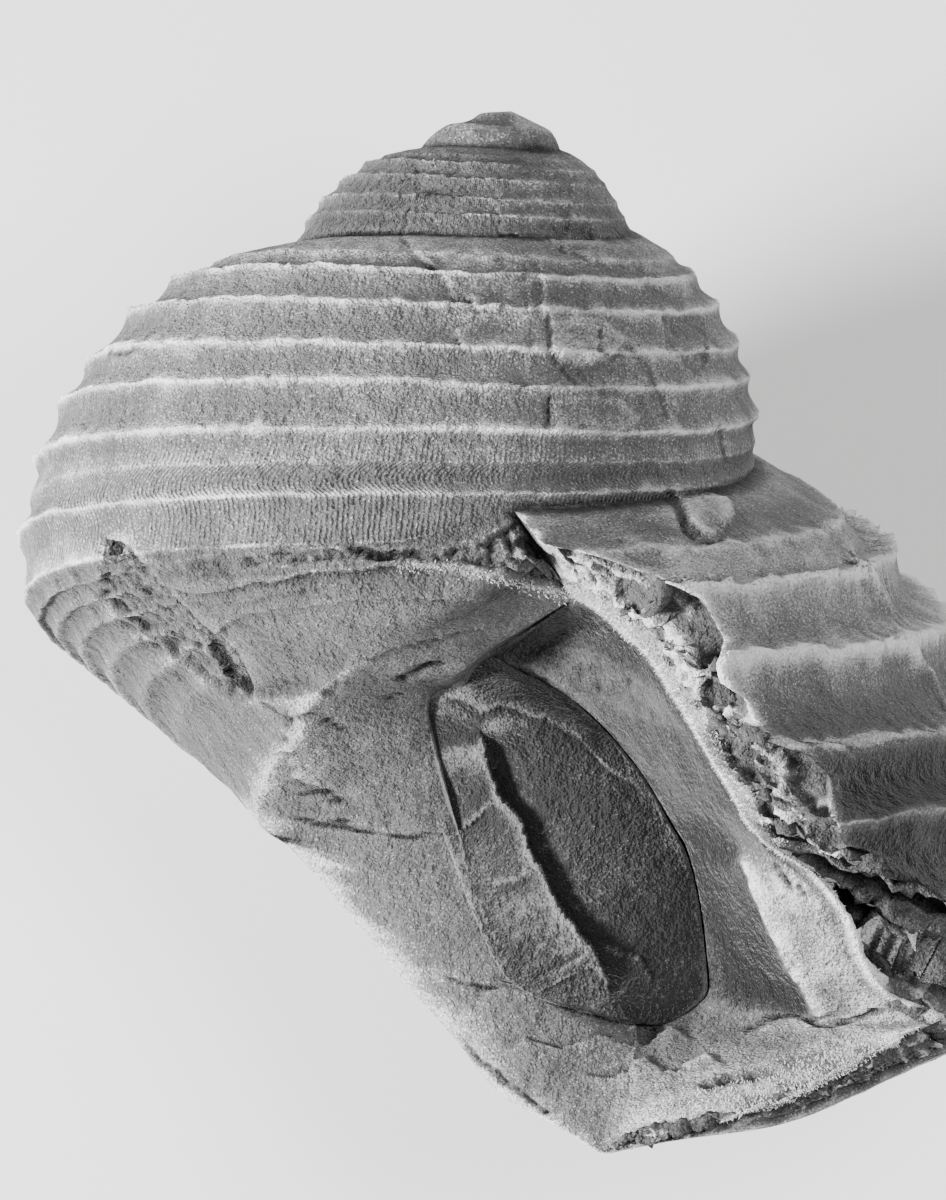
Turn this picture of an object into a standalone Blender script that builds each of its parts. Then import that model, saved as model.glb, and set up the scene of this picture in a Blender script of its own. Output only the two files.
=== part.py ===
"""A fossil marine snail shell with a broken outer lip, and the hardened matrix that plugs its mouth.

The shell is one solid. Its outside is a surface lofted along a growing spiral, from the apex to the
broken lip, and its mouth is a bowl lofted through rings from the lip's edge inwards. The plug of matrix
is a second solid that sits loose in the bowl. The shell lies on its back, mouth up.

Shell frame, in millimetres: across the view, down along the coiling axis from near the apex, and out
towards the viewer. Growth is counted in half turns, whole and even on the right, odd on the left.
"""
import math

import bmesh
import bpy
import numpy as np
from mathutils import Euler

COLLECTION = "fossil_shell"
MM = 0.001

# Where the coiling axis lies in the photograph, and the photograph's scale.
PIXELS_PER_MM = 52.5
AXIS_PIXEL = (503.0, 150.0)
AXIS_TILT = math.radians(7.8)

# How the shell grows: each half turn is this many times as large as the one before.
HALF_TURN_GROWTH = 1.473
WHORL_RADIUS = 2.48
FIRST_TURN = -3.5556
CUT_TURN = 2.4444
LIP_TURN = 4.4444
COLUMNS_PER_TURN = 54

# The seam between the whorls: half turns, radius and drop along the axis.
SEAM = ((-4.0, 0.16, -0.745), (-3.0, 0.30, -0.66), (-2.0, 0.49, -0.53), (-1.0, 0.72, -0.38),
        (0.0, 1.076, -0.149), (1.0, 1.568, 0.215), (2.0, 2.648, 1.213), (3.0, 3.629, 2.419),
        (4.0, 5.486, 5.248), (4.4444, 6.5, 6.8))
APEX = (0.10, -0.78, 0.0)

# The cross-section of a whorl, in millimetres at half turn 0: heights below the seam.
FULL_HEIGHT = 1.98
SHOULDER_POWER = ((-4.0, 0.62), (1.0, 0.66), (2.0, 0.72), (3.0, 0.60), (3.5, 0.64), (4.0, 0.73),
                  (4.5, 0.70))
CORDS = (0.164, 0.324, 0.558, 0.857, 1.114, 1.438, 1.648, 1.876)
WEAK_CORDS = (0.164, 1.648)
CORD_HEIGHT = 0.065
HIDDEN_FROM = 1.14
CUT_HEIGHT = 2.007
LOW_CORD_HEIGHT = 2.2
LOW_CORD_RADIUS = 0.965

# The base, from the lowest cord to the lip that is folded over the columella.
BASE_ROWS = 10
BASE_CORDS = 5
FOLD_ROWS = 3
BASE_CORD_HEIGHT = 0.05

# Curves picked on the photograph: half turns, x and y in pixels, and millimetres towards the viewer.
FOLD_EDGE = ((2.4444, 545, 560, 6.1), (2.55, 470, 612, 5.9), (2.70, 375, 655, 5.4), (2.80, 318, 695, 4.5),
             (2.90, 280, 748, 3.1), (3.00, 255, 811, 1.2), (3.15, 297, 852, 1.6), (3.30, 338, 900, 2.1),
             (3.50, 400, 975, 3.1), (3.70, 450, 1030, 4.1), (3.90, 497, 1087, 5.1), (4.10, 548, 1117, 6.0),
             (4.32, 600, 1148, 7.0))
INNER_MARGIN = ((2.4444, 575, 598, 5.1), (2.55, 501, 641, 4.7), (2.70, 462, 670, 4.3),
                (2.80, 428, 690, 3.6), (2.90, 431, 740, 3.0), (3.00, 445, 800, 2.6), (3.15, 470, 875, 3.2),
                (3.30, 492, 930, 3.8), (3.50, 520, 985, 4.6), (3.70, 547, 1030, 5.3),
                (3.90, 568, 1070, 5.9), (4.10, 585, 1105, 6.5), (4.32, 600, 1148, 7.0))

# The broken edge of the outer lip: drop along the axis against distance across.
BREAK_EDGE = ((6.80, 1.16), (7.36, 1.72), (7.42, 2.69), (7.64, 3.88), (7.98, 4.88), (8.68, 5.40),
              (9.17, 5.28), (9.53, 5.52), (9.76, 5.99), (10.47, 6.38), (10.56, 7.16), (10.96, 7.70),
              (11.61, 7.88), (12.17, 8.06), (12.28, 8.74), (12.70, 8.95), (12.72, 9.63), (13.0, 10.21),
              (14.1, 10.95), (15.1, 11.4), (15.8, 11.5))
# The basal edge, from the lip's lower corner to the tip: share of the base, across, down, towards.
BASAL_EDGE = ((0.0, 11.4, 15.6, 4.6), (0.15, 10.67, 15.8, 5.5), (0.4, 9.0, 16.84, 6.5),
              (0.6, 7.73, 17.56, 7.0), (0.8, 5.89, 18.1, 7.3), (1.0, 4.42, 18.59, 7.0))

# Rings of the mouth, right side: share of the way from the lip's top to the tip, x, y, towards.
LIP_INNER = ((0.0, 537, 540, 5.7), (0.03, 583, 594, 4.8), (0.06, 611, 622, 5.7), (0.105, 641, 650, 6.7),
             (0.185, 675, 700, 7.7), (0.294, 725, 785, 8.2), (0.37, 757, 835, 8.2), (0.42, 802, 864, 8.1),
             (0.47, 840, 905, 7.7), (0.52, 857, 950, 7.3), (0.57, 880, 985, 6.9), (0.62, 930, 1004, 6.4),
             (0.70, 895, 1013, 6.7), (0.78, 835, 1044, 7.3), (0.86, 740, 1090, 7.8), (0.93, 680, 1110, 7.9),
             (1.0, 604, 1138, 7.3))
WALL_RIDGE = ((0.0, 530, 620, 3.4), (0.06, 575, 640, 4.0), (0.105, 605, 662, 4.6), (0.185, 645, 712, 5.4),
              (0.294, 700, 795, 6.2), (0.37, 737, 840, 6.8), (0.47, 767, 903, 6.8), (0.52, 792, 956, 6.4),
              (0.57, 812, 990, 5.9), (0.62, 822, 1012, 5.6), (0.70, 792, 1018, 5.2), (0.78, 745, 1030, 4.9),
              (0.86, 705, 1042, 4.9), (0.93, 665, 1058, 5.1), (1.0, 620, 1080, 5.6))
PLUG_BORDER_RIGHT = ((0.0, 495, 656, 2.6), (0.06, 520, 670, 2.7), (0.105, 548, 684, 2.9),
                     (0.185, 590, 714, 3.2), (0.294, 640, 770, 3.5), (0.37, 670, 820, 3.7),
                     (0.47, 690, 860, 3.8), (0.52, 700, 905, 3.8), (0.57, 706, 955, 3.8),
                     (0.62, 708, 985, 3.8), (0.70, 697, 1002, 3.9), (0.78, 680, 1014, 4.0),
                     (0.86, 662, 1022, 4.1), (1.0, 635, 1022, 4.2))
# Left side: share of the way from the tip back up to the lip's top, x, y, towards.
PLUG_BORDER_LEFT = ((0.0, 635, 1022, 4.2), (0.2, 590, 1008, 4.2), (0.32, 545, 992, 4.0),
                    (0.43, 517, 968, 3.6), (0.53, 490, 912, 3.1), (0.6, 470, 862, 2.6),
                    (0.68, 449, 800, 2.2), (0.74, 438, 740, 2.1), (0.78, 437, 698, 2.2),
                    (0.84, 462, 678, 2.4), (0.9, 480, 664, 2.5), (1.0, 495, 656, 2.6))
RIM_DROP = 0.35
POCKET_DEPTH = 1.6
POCKET_SHRINK = 0.96

# The plug of matrix: share of its length from the top, x, y, towards, for each line across it.
PLUG_LINES = (
    ((0.0, 466, 696, 2.6), (0.12, 464, 718, 2.7), (0.3, 471, 780, 2.9), (0.5, 496, 860, 3.4),
     (0.7, 522, 922, 3.8), (0.85, 555, 963, 4.1), (1.0, 606, 995, 4.3)),
    ((0.0, 471, 688, 2.7), (0.12, 472, 718, 3.1), (0.3, 481, 792, 3.3), (0.5, 500, 850, 3.8),
     (0.7, 530, 918, 4.2), (0.85, 568, 958, 4.5), (1.0, 616, 999, 4.2)),
    ((0.0, 479, 685, 2.8), (0.12, 484, 730, 3.6), (0.3, 499, 790, 4.1), (0.5, 530, 850, 4.5),
     (0.7, 562, 910, 4.8), (0.85, 600, 955, 4.9), (1.0, 626, 1000, 4.3)),
    ((0.0, 487, 682, 2.9), (0.12, 500, 728, 3.2), (0.3, 545, 795, 3.1), (0.5, 566, 850, 3.3),
     (0.7, 600, 905, 3.7), (0.85, 625, 948, 4.1), (1.0, 637, 1000, 4.3)),
    ((0.0, 496, 680, 2.9), (0.12, 532, 714, 3.6), (0.3, 596, 770, 4.0), (0.5, 635, 822, 4.2),
     (0.7, 652, 890, 4.3), (0.85, 658, 948, 4.3), (1.0, 649, 999, 4.3)),
    ((0.0, 505, 681, 2.8), (0.12, 545, 702, 3.1), (0.3, 610, 762, 3.5), (0.5, 658, 840, 3.8),
     (0.7, 678, 900, 3.9), (0.85, 682, 955, 4.0), (1.0, 660, 997, 4.1)),
)
PLUG_ROWS = 15
PLUG_THICKNESS = 0.9
PLUG_INSET = 0.82

# How the shell settles on its back, and how deep the whorls underneath are worn flat.
REST_TURN = Euler((math.radians(14.2), math.radians(-1.5), 0.0))
WORN_FLAT = 0.72


def smooth(places, knots):
    """Values on a smooth curve through knots, whose first number is the place along it."""
    table = np.array(knots, dtype=float)
    x, y = table[:, 0], table[:, 1:]
    places = np.clip(np.asarray(places, dtype=float), x[0], x[-1])
    rise = np.diff(y, axis=0) / np.diff(x)[:, None]
    slope = np.vstack([rise[:1], (rise[:-1] + rise[1:]) / 2.0, rise[-1:]])
    i = np.clip(np.searchsorted(x, places, side="right") - 1, 0, len(x) - 2)
    step = (x[i + 1] - x[i])[..., None]
    t = (places - x[i])[..., None] / step
    start, end = (1 + 2 * t) * (1 - t) ** 2, t * t * (3 - 2 * t)
    bend = t * (1 - t) ** 2 * slope[i] - t * t * (1 - t) * slope[i + 1]
    return start * y[i] + end * y[i + 1] + step * bend


def ramp(values, low, high):
    """A smooth step from 0 at low to 1 at high."""
    t = np.clip((np.asarray(values, dtype=float) - low) / (high - low), 0.0, 1.0)
    return t * t * (3 - 2 * t)


def from_photo(points):
    """Shell-frame points for rows of x and y in pixels and millimetres towards the viewer."""
    points = np.asarray(points, dtype=float)
    dx = (points[..., 0] - AXIS_PIXEL[0]) / PIXELS_PER_MM
    dy = (points[..., 1] - AXIS_PIXEL[1]) / PIXELS_PER_MM
    across = dx * math.cos(AXIS_TILT) + dy * math.sin(AXIS_TILT)
    down = dy * math.cos(AXIS_TILT) - dx * math.sin(AXIS_TILT)
    return np.stack([across, down, points[..., 2]], axis=-1)


def growth(turns):
    """Size of the whorl at each half turn, against its size at half turn 0."""
    return HALF_TURN_GROWTH ** np.asarray(turns, dtype=float)


def around(turns, radius, down):
    """Shell-frame points at a radius about the coiling axis."""
    angle = np.pi * turns
    return np.stack([radius * np.cos(angle), down, radius * np.sin(angle)], axis=-1)


def cord_relief(height):
    """How far the cords stand out: sharp at each cord, hollow between."""
    crests = np.array((0.0,) + CORDS + (CUT_HEIGHT, LOW_CORD_HEIGHT))
    weights = np.array([0.0] + [0.35 if c in WEAK_CORDS else 1.0 for c in CORDS] + [0.4, 1.0])
    return np.interp(height, *with_hollows(crests, weights))


def with_hollows(crests, weights):
    """The crests with a point at the bottom of each hollow between them."""
    middles = (crests[:-1] + crests[1:]) / 2.0
    places = np.concatenate([crests, middles])
    order = np.argsort(places)
    return places[order], np.concatenate([weights, np.zeros(len(middles))])[order]


def whorl(turns, heights):
    """The outside of a whorl, from its upper seam down to its lowest cord."""
    turns, heights = np.broadcast_arrays(np.asarray(turns, float), np.asarray(heights, float))
    size = growth(turns)
    seam = smooth(turns, SEAM)
    next_seam = smooth(np.minimum(turns + 2.0, LIP_TURN), SEAM)
    cut = (next_seam[..., 1] - seam[..., 1]) / size
    covered = turns <= CUT_TURN + 1e-6
    squeezed_from = np.minimum(HIDDEN_FROM, 0.75 * cut)
    share = np.clip((heights - squeezed_from) / (CUT_HEIGHT - squeezed_from), 0.0, 1.0)
    height = np.where(covered, np.minimum(heights, squeezed_from) + (cut - squeezed_from) * share, heights)
    power = smooth(turns, SHOULDER_POWER)[..., 0]
    filled = 1.0 - (1.0 - np.minimum(height / (0.9 * FULL_HEIGHT), 1.0)) ** 2
    radius = seam[..., 0] + (WHORL_RADIUS * size - seam[..., 0]) * filled ** power
    radius *= narrowing(height)
    gap = np.where(covered, next_seam[..., 0] - seam_end_radius(turns, cut), 0.0)
    radius += gap * (height / np.where(covered, cut, 1.0)) ** 4
    fade = ramp(height, 0.0, 0.12) * np.where(covered, 1.0 - ramp(height, cut - 0.12, cut), 1.0)
    relief = CORD_HEIGHT * size * cord_relief(heights) * fade
    slant = np.pi / 2 * np.clip(1.0 - height / FULL_HEIGHT, 0.0, 1.0)
    down = seam[..., 1] + height * size - relief * np.sin(slant)
    return around(turns, radius + relief * np.cos(slant), down)


def narrowing(height):
    """How the whorl draws in from its last cord but one to its lowest cord."""
    share = np.clip((height - CORDS[-1]) / (LOW_CORD_HEIGHT - CORDS[-1]), 0.0, 1.0)
    return 1.0 - (1.0 - LOW_CORD_RADIUS) * share ** 2


def seam_end_radius(turns, cut):
    """Radius that the whorl's own outline has where the next whorl covers it."""
    power = smooth(turns, SHOULDER_POWER)[..., 0]
    seam = smooth(turns, SEAM)[..., 0]
    filled = 1.0 - (1.0 - np.minimum(cut / (0.9 * FULL_HEIGHT), 1.0)) ** 2
    return (seam + (WHORL_RADIUS * growth(turns) - seam) * filled ** power) * narrowing(cut)


def low_height(turns):
    """Height of the last row above the base: the seam's at the cut, the lowest cord's after it."""
    return CUT_HEIGHT + (LOW_CORD_HEIGHT - CUT_HEIGHT) * ramp(turns, CUT_TURN, CUT_TURN + 0.12)


def base(start, turns, share):
    """The base, from the lowest cord at share 0 to the folded lip's edge at 1 and its inner margin at 2."""
    turns, share = np.broadcast_arrays(np.asarray(turns, float), np.asarray(share, float))
    reach = (WHORL_RADIUS * growth(turns))[..., None]
    edge = from_photo(smooth(turns, FOLD_EDGE))
    margin = from_photo(smooth(turns, INNER_MARGIN))
    out = around(turns, np.ones_like(turns), np.zeros_like(turns))
    down = np.array((0.0, 1.0, 0.0))
    front = 1.0 - ramp(turns, 2.6, 3.0)[..., None]
    drop = (0.14 - 0.02 * ramp(turns, 3.0, 4.0))[..., None]
    first = start - out * reach * 0.09 + down * reach * 0.06
    second = start - out * reach * 0.30 + down * reach * drop
    middle = start + (edge - start) * 0.66 + np.array((0.0, 0.3, 0.9))
    second = second + (middle - second) * front
    first = first + (start + down * 0.9 + (edge - start) * 0.1 - first) * front
    t = np.clip(share, 0.0, 1.0)[..., None]
    over = (1 - t) ** 3 * start + 3 * t * (1 - t) ** 2 * first
    over += 3 * t * t * (1 - t) * second + t ** 3 * edge
    s = np.clip(share - 1.0, 0.0, 1.0)[..., None]
    bulge = (0.3 * np.sin(np.pi * s)) * np.array((0.0, 0.0, 1.0)) * ramp(turns, 2.7, 3.1)[..., None]
    cords = np.maximum(0.0, 1.0 - np.abs((share * BASE_CORDS + 0.5) % 1.0 - 0.5) * 4.0) * (share < 0.95)
    fade = ramp(share, 0.0, 0.15) * ramp(turns, 2.7, 3.1) * (1.0 - ramp(turns, 3.9, 4.2))
    over += down * (BASE_CORD_HEIGHT * growth(turns) * cords * fade)[..., None]
    return np.where(share[..., None] <= 1.0, over, edge + (margin - edge) * s + bulge)


def lip_turns(heights):
    """The half turn at which each row of the outside meets the broken edge of the lip."""
    low = np.full(len(heights), 3.9)
    high = np.full(len(heights), LIP_TURN)
    edge = np.array(BREAK_EDGE)
    for _ in range(40):
        middle = (low + high) / 2.0
        point = whorl(middle, heights)
        beyond = point[:, 0] < np.interp(point[:, 1], edge[:, 0], edge[:, 1])
        low, high = np.where(beyond, low, middle), np.where(beyond, middle, high)
    high[0] = LIP_TURN
    return high


def outside(row_heights, base_rows, fold_rows, columns):
    """Grids of the outside: the turns before the cut, and the last turn with its base."""
    early = np.linspace(FIRST_TURN, CUT_TURN, 3 * columns + 1)
    late = np.linspace(CUT_TURN, LIP_TURN, columns + 1)
    before = whorl(early[:, None], np.array(row_heights)[None, :])
    ends = lip_turns(np.array(row_heights))
    folded = 1.0 + np.arange(1, fold_rows + 1) / fold_rows
    shares = np.concatenate([np.arange(1, base_rows + 1) / base_rows, folded])
    base_ends = ends[-1] + (4.32 - ends[-1]) * np.minimum(shares, 1.0)
    pull = ramp(late, 3.3, LIP_TURN)[:, None]
    upper = late[:, None] + pull * (ends[None, :] - LIP_TURN)
    heights = np.repeat(np.array(row_heights)[None, :], len(late), axis=0)
    heights[:, -1] = low_height(late)
    last = whorl(upper, heights)
    lower = late[:, None] + pull * (base_ends[None, :] - LIP_TURN)
    corner = smooth(0.0, BASAL_EDGE) - last[-1, -1]
    low_rows = ramp(row_heights, CORDS[-3], CUT_HEIGHT)
    last += (ramp(late, 3.7, LIP_TURN)[:, None] * low_rows[None, :])[..., None] * corner
    under = base(last[:, -1:, :], lower, shares[None, :])
    target = smooth(np.minimum(shares, 1.0), BASAL_EDGE)
    under += ramp(late, 3.7, LIP_TURN)[:, None, None] * (target - under[-1])[None, :, :]
    return before, np.concatenate([last, under], axis=1)


class Surface:
    """Points and faces gathered patch by patch, welded where they meet."""

    def __init__(self):
        self.points = []
        self.faces = []

    def add(self, points):
        """Adds points in any array shape and returns their numbers in the same shape."""
        flat = np.asarray(points, dtype=float).reshape(-1, 3)
        numbers = np.arange(len(flat)) + len(self.points)
        self.points.extend(map(tuple, flat))
        return numbers.reshape(np.asarray(points).shape[:-1])

    def grid(self, numbers):
        """Quads between neighbouring rows and columns."""
        for i in range(numbers.shape[0] - 1):
            for j in range(numbers.shape[1] - 1):
                near, far = numbers[i, j:j + 2], numbers[i + 1, j:j + 2]
                self.faces.append((near[0], near[1], far[1], far[0]))

    def fan(self, loop, centre):
        """Triangles from a closed loop to one point."""
        for i in range(len(loop)):
            self.faces.append((loop[i], loop[(i + 1) % len(loop)], centre))


def shell_surface():
    """The closed surface of the shell, in the shell frame."""
    crests = np.array(CORDS)
    hollows = (crests[:-1] + crests[1:]) / 2.0
    row_heights = np.sort(np.concatenate([[0.0], crests, hollows[1:6], [1.95, CUT_HEIGHT]]))
    before, last = outside(row_heights, BASE_ROWS, FOLD_ROWS, COLUMNS_PER_TURN)
    upper_rows = len(row_heights)
    surface = Surface()
    early = surface.add(before)
    late = surface.add(last)
    surface.grid(early)
    surface.grid(late)

    crown = np.concatenate([early[:COLUMNS_PER_TURN, 0], early[0, :0:-1]])
    tip = np.array(APEX)
    surface.fan(crown[::-1], surface.add(tip[None, :])[0])

    lip = late[-1, :]
    margin = late[:-1, -1][::-1]
    start = late[0, upper_rows - 1:-1][::-1]
    loop = np.concatenate([lip, margin, start[:-1]])
    rings = mouth_rings(np.array([surface.points[k] for k in loop]), len(lip), upper_rows)
    outer = loop
    for level in rings:
        inner = surface.add(level)
        surface.grid(np.stack([np.append(outer, outer[0]), np.append(inner, inner[0])]))
        outer = inner
    centre = surface.add(np.mean(rings[-1], axis=0)[None, :])[0]
    surface.fan(outer, centre)
    return surface


def mouth_rings(rim, lip_count, upper_rows):
    """Rings of the mouth, from just inside the rim to the floor of the pocket that holds the plug."""
    upper = np.linspace(0.0, 0.6, upper_rows)
    lower = np.linspace(0.6, 1.0, lip_count - upper_rows + 1)[1:]
    right = np.concatenate([upper, lower])
    left_count = len(rim) - lip_count
    left = np.arange(1, left_count + 1) / (left_count + 1.0)
    inner_edge = from_photo(smooth(right, LIP_INNER))
    ridge = from_photo(smooth(right, WALL_RIDGE))
    border = from_photo(np.concatenate([smooth(right, PLUG_BORDER_RIGHT), smooth(left, PLUG_BORDER_LEFT)]))
    left_rim, left_border = rim[lip_count:], border[lip_count:]
    drop = np.array((0.0, 0.0, RIM_DROP))
    first = np.concatenate([inner_edge, left_rim + (left_border - left_rim) * 0.2 + drop * 0.2])
    second = np.concatenate([ridge, left_rim + (left_border - left_rim) * 0.6 - drop])
    floor_drop = np.array((0.0, 0.0, POCKET_DEPTH))
    centre = np.mean(border, axis=0)
    wall = centre + (border - centre) * POCKET_SHRINK - floor_drop
    floor = centre + (border - centre) * 0.4 - floor_drop * 1.2
    return [first, second, border, wall, floor]


def plug_surface():
    """The closed surface of the matrix plug, in the shell frame."""
    along = np.linspace(0.0, 1.0, PLUG_ROWS)
    top = np.stack([from_photo(smooth(along, line)) for line in PLUG_LINES], axis=1)
    centre = np.mean(top, axis=(0, 1))
    bottom = centre + (top - centre) * np.array((PLUG_INSET, PLUG_INSET, 0.7))
    bottom[..., 2] = np.minimum(bottom[..., 2] - PLUG_THICKNESS, top[..., 2] - 0.3)
    surface = Surface()
    upper = surface.add(top)
    under = surface.add(bottom)
    surface.grid(upper[:, ::-1])
    surface.grid(under)
    rim, lower_rim = border_of(upper), border_of(under)
    surface.grid(np.stack([np.append(rim, rim[0]), np.append(lower_rim, lower_rim[0])]))
    return surface


def border_of(numbers):
    """The closed loop of numbers round the edge of a grid."""
    return np.concatenate([numbers[0, :-1], numbers[:-1, -1], numbers[-1, :0:-1], numbers[:0:-1, 0]])


def to_rest(points):
    """Shell-frame millimetres to metres, turned onto the shell's back."""
    points = np.asarray(points, dtype=float)
    c, s = math.cos(AXIS_TILT), math.sin(AXIS_TILT)
    x = points[:, 0] * c - points[:, 1] * s
    y = -(points[:, 0] * s + points[:, 1] * c)
    upright = np.stack([x, y, points[:, 2]], axis=1) * MM
    return upright @ np.array(REST_TURN.to_matrix()).T


def rest_shift(shell):
    """The move that centres the settled shell over the origin, with its worn flat on the ground."""
    placed = to_rest(shell.points)
    low, high = placed.min(axis=0), placed.max(axis=0)
    return -np.array(((low[0] + high[0]) / 2, (low[1] + high[1]) / 2, low[2] + WORN_FLAT * MM))


def make_object(name, surface, shift, collection):
    """A closed mesh object from a gathered surface, with anything below the ground cut off flat."""
    mesh = bpy.data.meshes.new(name)
    points = to_rest(surface.points) + shift
    mesh.from_pydata(points.tolist(), [], [tuple(int(k) for k in face) for face in surface.faces])
    work = bmesh.new()
    work.from_mesh(mesh)
    bmesh.ops.remove_doubles(work, verts=work.verts, dist=0.000002)
    bmesh.ops.dissolve_degenerate(work, edges=work.edges, dist=0.000001)
    everything = work.verts[:] + work.edges[:] + work.faces[:]
    bmesh.ops.bisect_plane(work, geom=everything, dist=0.000002, plane_co=(0, 0, 0), plane_no=(0, 0, 1),
                           clear_inner=True)
    bmesh.ops.holes_fill(work, edges=work.edges, sides=0)
    bmesh.ops.triangulate(work, faces=work.faces)
    bmesh.ops.recalc_face_normals(work, faces=work.faces)
    work.to_mesh(mesh)
    work.free()
    mesh.shade_smooth()
    mesh.set_sharp_from_angle(angle=math.radians(35))
    thing = bpy.data.objects.new(name, mesh)
    collection.objects.link(thing)
    return thing


def make_material(name, colour, roughness):
    """A plain stone material."""
    material = bpy.data.materials.new(name)
    material.use_nodes = True
    shader = material.node_tree.nodes["Principled BSDF"]
    shader.inputs["Base Color"].default_value = (*colour, 1.0)
    shader.inputs["Roughness"].default_value = roughness
    shader.inputs["Metallic"].default_value = 0.0
    return material


def main():
    for old in list(bpy.data.objects):
        bpy.data.objects.remove(old, do_unlink=True)
    collection = bpy.data.collections.new(COLLECTION)
    bpy.context.scene.collection.children.link(collection)
    outside_and_mouth = shell_surface()
    shift = rest_shift(outside_and_mouth)
    shell = make_object("shell", outside_and_mouth, shift, collection)
    shell.data.materials.append(make_material("grey_shell_stone", (0.36, 0.36, 0.36), 0.85))
    plug = make_object("matrix_plug", plug_surface(), shift, collection)
    plug.data.materials.append(make_material("dark_matrix", (0.16, 0.16, 0.16), 0.9))


main()
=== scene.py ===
"""Looks for a fossil sea snail shell that lies on its back with its mouth up.

The shell is one closed skin. Its outside is lofted along a growing spiral in four bands, each one turn
long and finer than the one before, and zipped together along the seams between the whorls. Rings carry
the skin over the broken lip and down the inner wall to the pocket that holds the plug of matrix.

Shell frame, in millimetres: across the view, down along the coiling axis from near the apex, and out
towards the viewer. Growth is counted in half turns, even on the right and odd on the left.
"""
import math

import bmesh
import bpy
import numpy as np
from mathutils import Euler, Matrix, Vector


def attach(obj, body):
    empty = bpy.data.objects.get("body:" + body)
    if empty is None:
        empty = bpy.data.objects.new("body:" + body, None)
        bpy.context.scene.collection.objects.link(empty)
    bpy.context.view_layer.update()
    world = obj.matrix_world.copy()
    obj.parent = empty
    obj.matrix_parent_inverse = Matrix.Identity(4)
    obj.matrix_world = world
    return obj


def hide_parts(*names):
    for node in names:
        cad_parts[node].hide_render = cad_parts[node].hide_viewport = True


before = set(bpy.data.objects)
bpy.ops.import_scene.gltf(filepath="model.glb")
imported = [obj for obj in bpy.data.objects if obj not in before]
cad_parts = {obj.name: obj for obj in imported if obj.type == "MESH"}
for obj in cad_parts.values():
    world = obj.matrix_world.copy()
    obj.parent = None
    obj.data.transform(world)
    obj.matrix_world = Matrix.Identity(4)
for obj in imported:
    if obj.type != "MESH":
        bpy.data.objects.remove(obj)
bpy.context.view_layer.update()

MM = 0.001

# Where the coiling axis lies in the photograph, the photograph's scale, and how the shell settles.
PIXELS_PER_MM = 52.5
AXIS_PIXEL = (503.0, 150.0)
CENTRE_PIXEL = (473.0, 600.0)
PHOTO_HEIGHT_MM = 1200 / PIXELS_PER_MM
AXIS_TILT = math.radians(7.8)
REST_TURN = np.array(Euler((math.radians(14.2), math.radians(-1.5), 0.0)).to_matrix())
REST_SHIFT = np.array((-0.5153, 9.709, 11.6895))
# The cords underneath are worn flat, and the skin stays this far above the floor, in millimetres.
FLOOR_GAP = 0.04

# How the shell grows: each half turn is this many times as large as the one before.
HALF_TURN_GROWTH = 1.473
WHORL_RADIUS = 2.48
FIRST_TURN = -3.5556
CUT_TURN = 2.4444
LIP_TURN = 4.4444

# The seam between the whorls: half turns, radius and drop along the axis.
SEAM = ((-4.0, 0.20, -0.745), (-3.0, 0.45, -0.66), (-2.0, 0.74, -0.53), (-1.0, 0.96, -0.38),
        (0.0, 1.076, -0.149), (1.0, 1.568, 0.215), (2.0, 2.648, 1.213), (3.0, 3.629, 2.419),
        (4.0, 5.486, 5.248), (4.4444, 6.5, 6.8))
APEX = (0.06, -0.765, 0.0)

# The cross-section of a whorl, in millimetres at half turn 0. Heights are counted down from the seam. The
# shoulder's rows are half turns and a power, and a smaller power makes a fuller shoulder.
FULL_HEIGHT = 1.98
SHOULDER_POWER = ((-4.0, 0.62), (1.0, 0.66), (2.0, 0.72), (3.0, 0.60), (3.5, 0.64), (4.0, 0.73),
                  (4.5, 0.70))
CORDS = (0.164, 0.324, 0.558, 0.857, 1.114, 1.438, 1.648, 1.876)
WEAK_CORDS = (0.164, 1.648)
CORD_HEIGHT = 0.068
CUT_HEIGHT = 2.007
LOW_CORD_HEIGHT = 2.2
LOW_CORD_RADIUS = 0.965
BASE_CORDS = 8
BASE_CORD_HEIGHT = 0.045
# The slit band runs between the last two of these cords. Growth lines cross the whorl, about 0.1 mm apart
# on the last turn, and bow on the band. Their phase in radians grows by the first number with each half
# turn, and on the band by the second with the square of the height off its middle.
SLIT_MIDDLE = (CORDS[-2] + CORDS[-1]) / 2
SLIT_HALF_WIDTH = (CORDS[-1] - CORDS[-2]) / 2
GROWTH_LINE_PHASE = 1320.0
SLIT_LINE_BOW = 1500.0

# Curves picked on the photograph: half turns, x and y in pixels, and millimetres towards the viewer.
FOLD_EDGE = ((2.4444, 545, 560, 6.1), (2.55, 470, 612, 5.9), (2.70, 375, 655, 5.4),
             (2.80, 318, 695, 4.5), (2.90, 280, 748, 3.1), (3.00, 255, 811, 1.2),
             (3.15, 297, 852, 1.6), (3.30, 338, 900, 2.1), (3.50, 400, 975, 3.1),
             (3.70, 450, 1030, 4.1), (3.90, 497, 1087, 5.1), (4.10, 548, 1117, 6.0),
             (4.32, 600, 1148, 7.0))
FOLD_END = 4.32
INNER_MARGIN = ((2.4444, 575, 598, 5.1), (2.55, 501, 641, 4.7), (2.70, 462, 670, 4.3),
                (2.80, 428, 690, 3.6), (2.90, 431, 740, 3.0), (3.00, 445, 800, 2.6),
                (3.15, 470, 875, 3.2), (3.30, 492, 930, 3.8), (3.50, 520, 985, 4.5),
                (3.70, 547, 1030, 5.0), (3.90, 568, 1070, 5.5), (4.10, 585, 1105, 6.1),
                (4.32, 600, 1148, 7.0))

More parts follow.
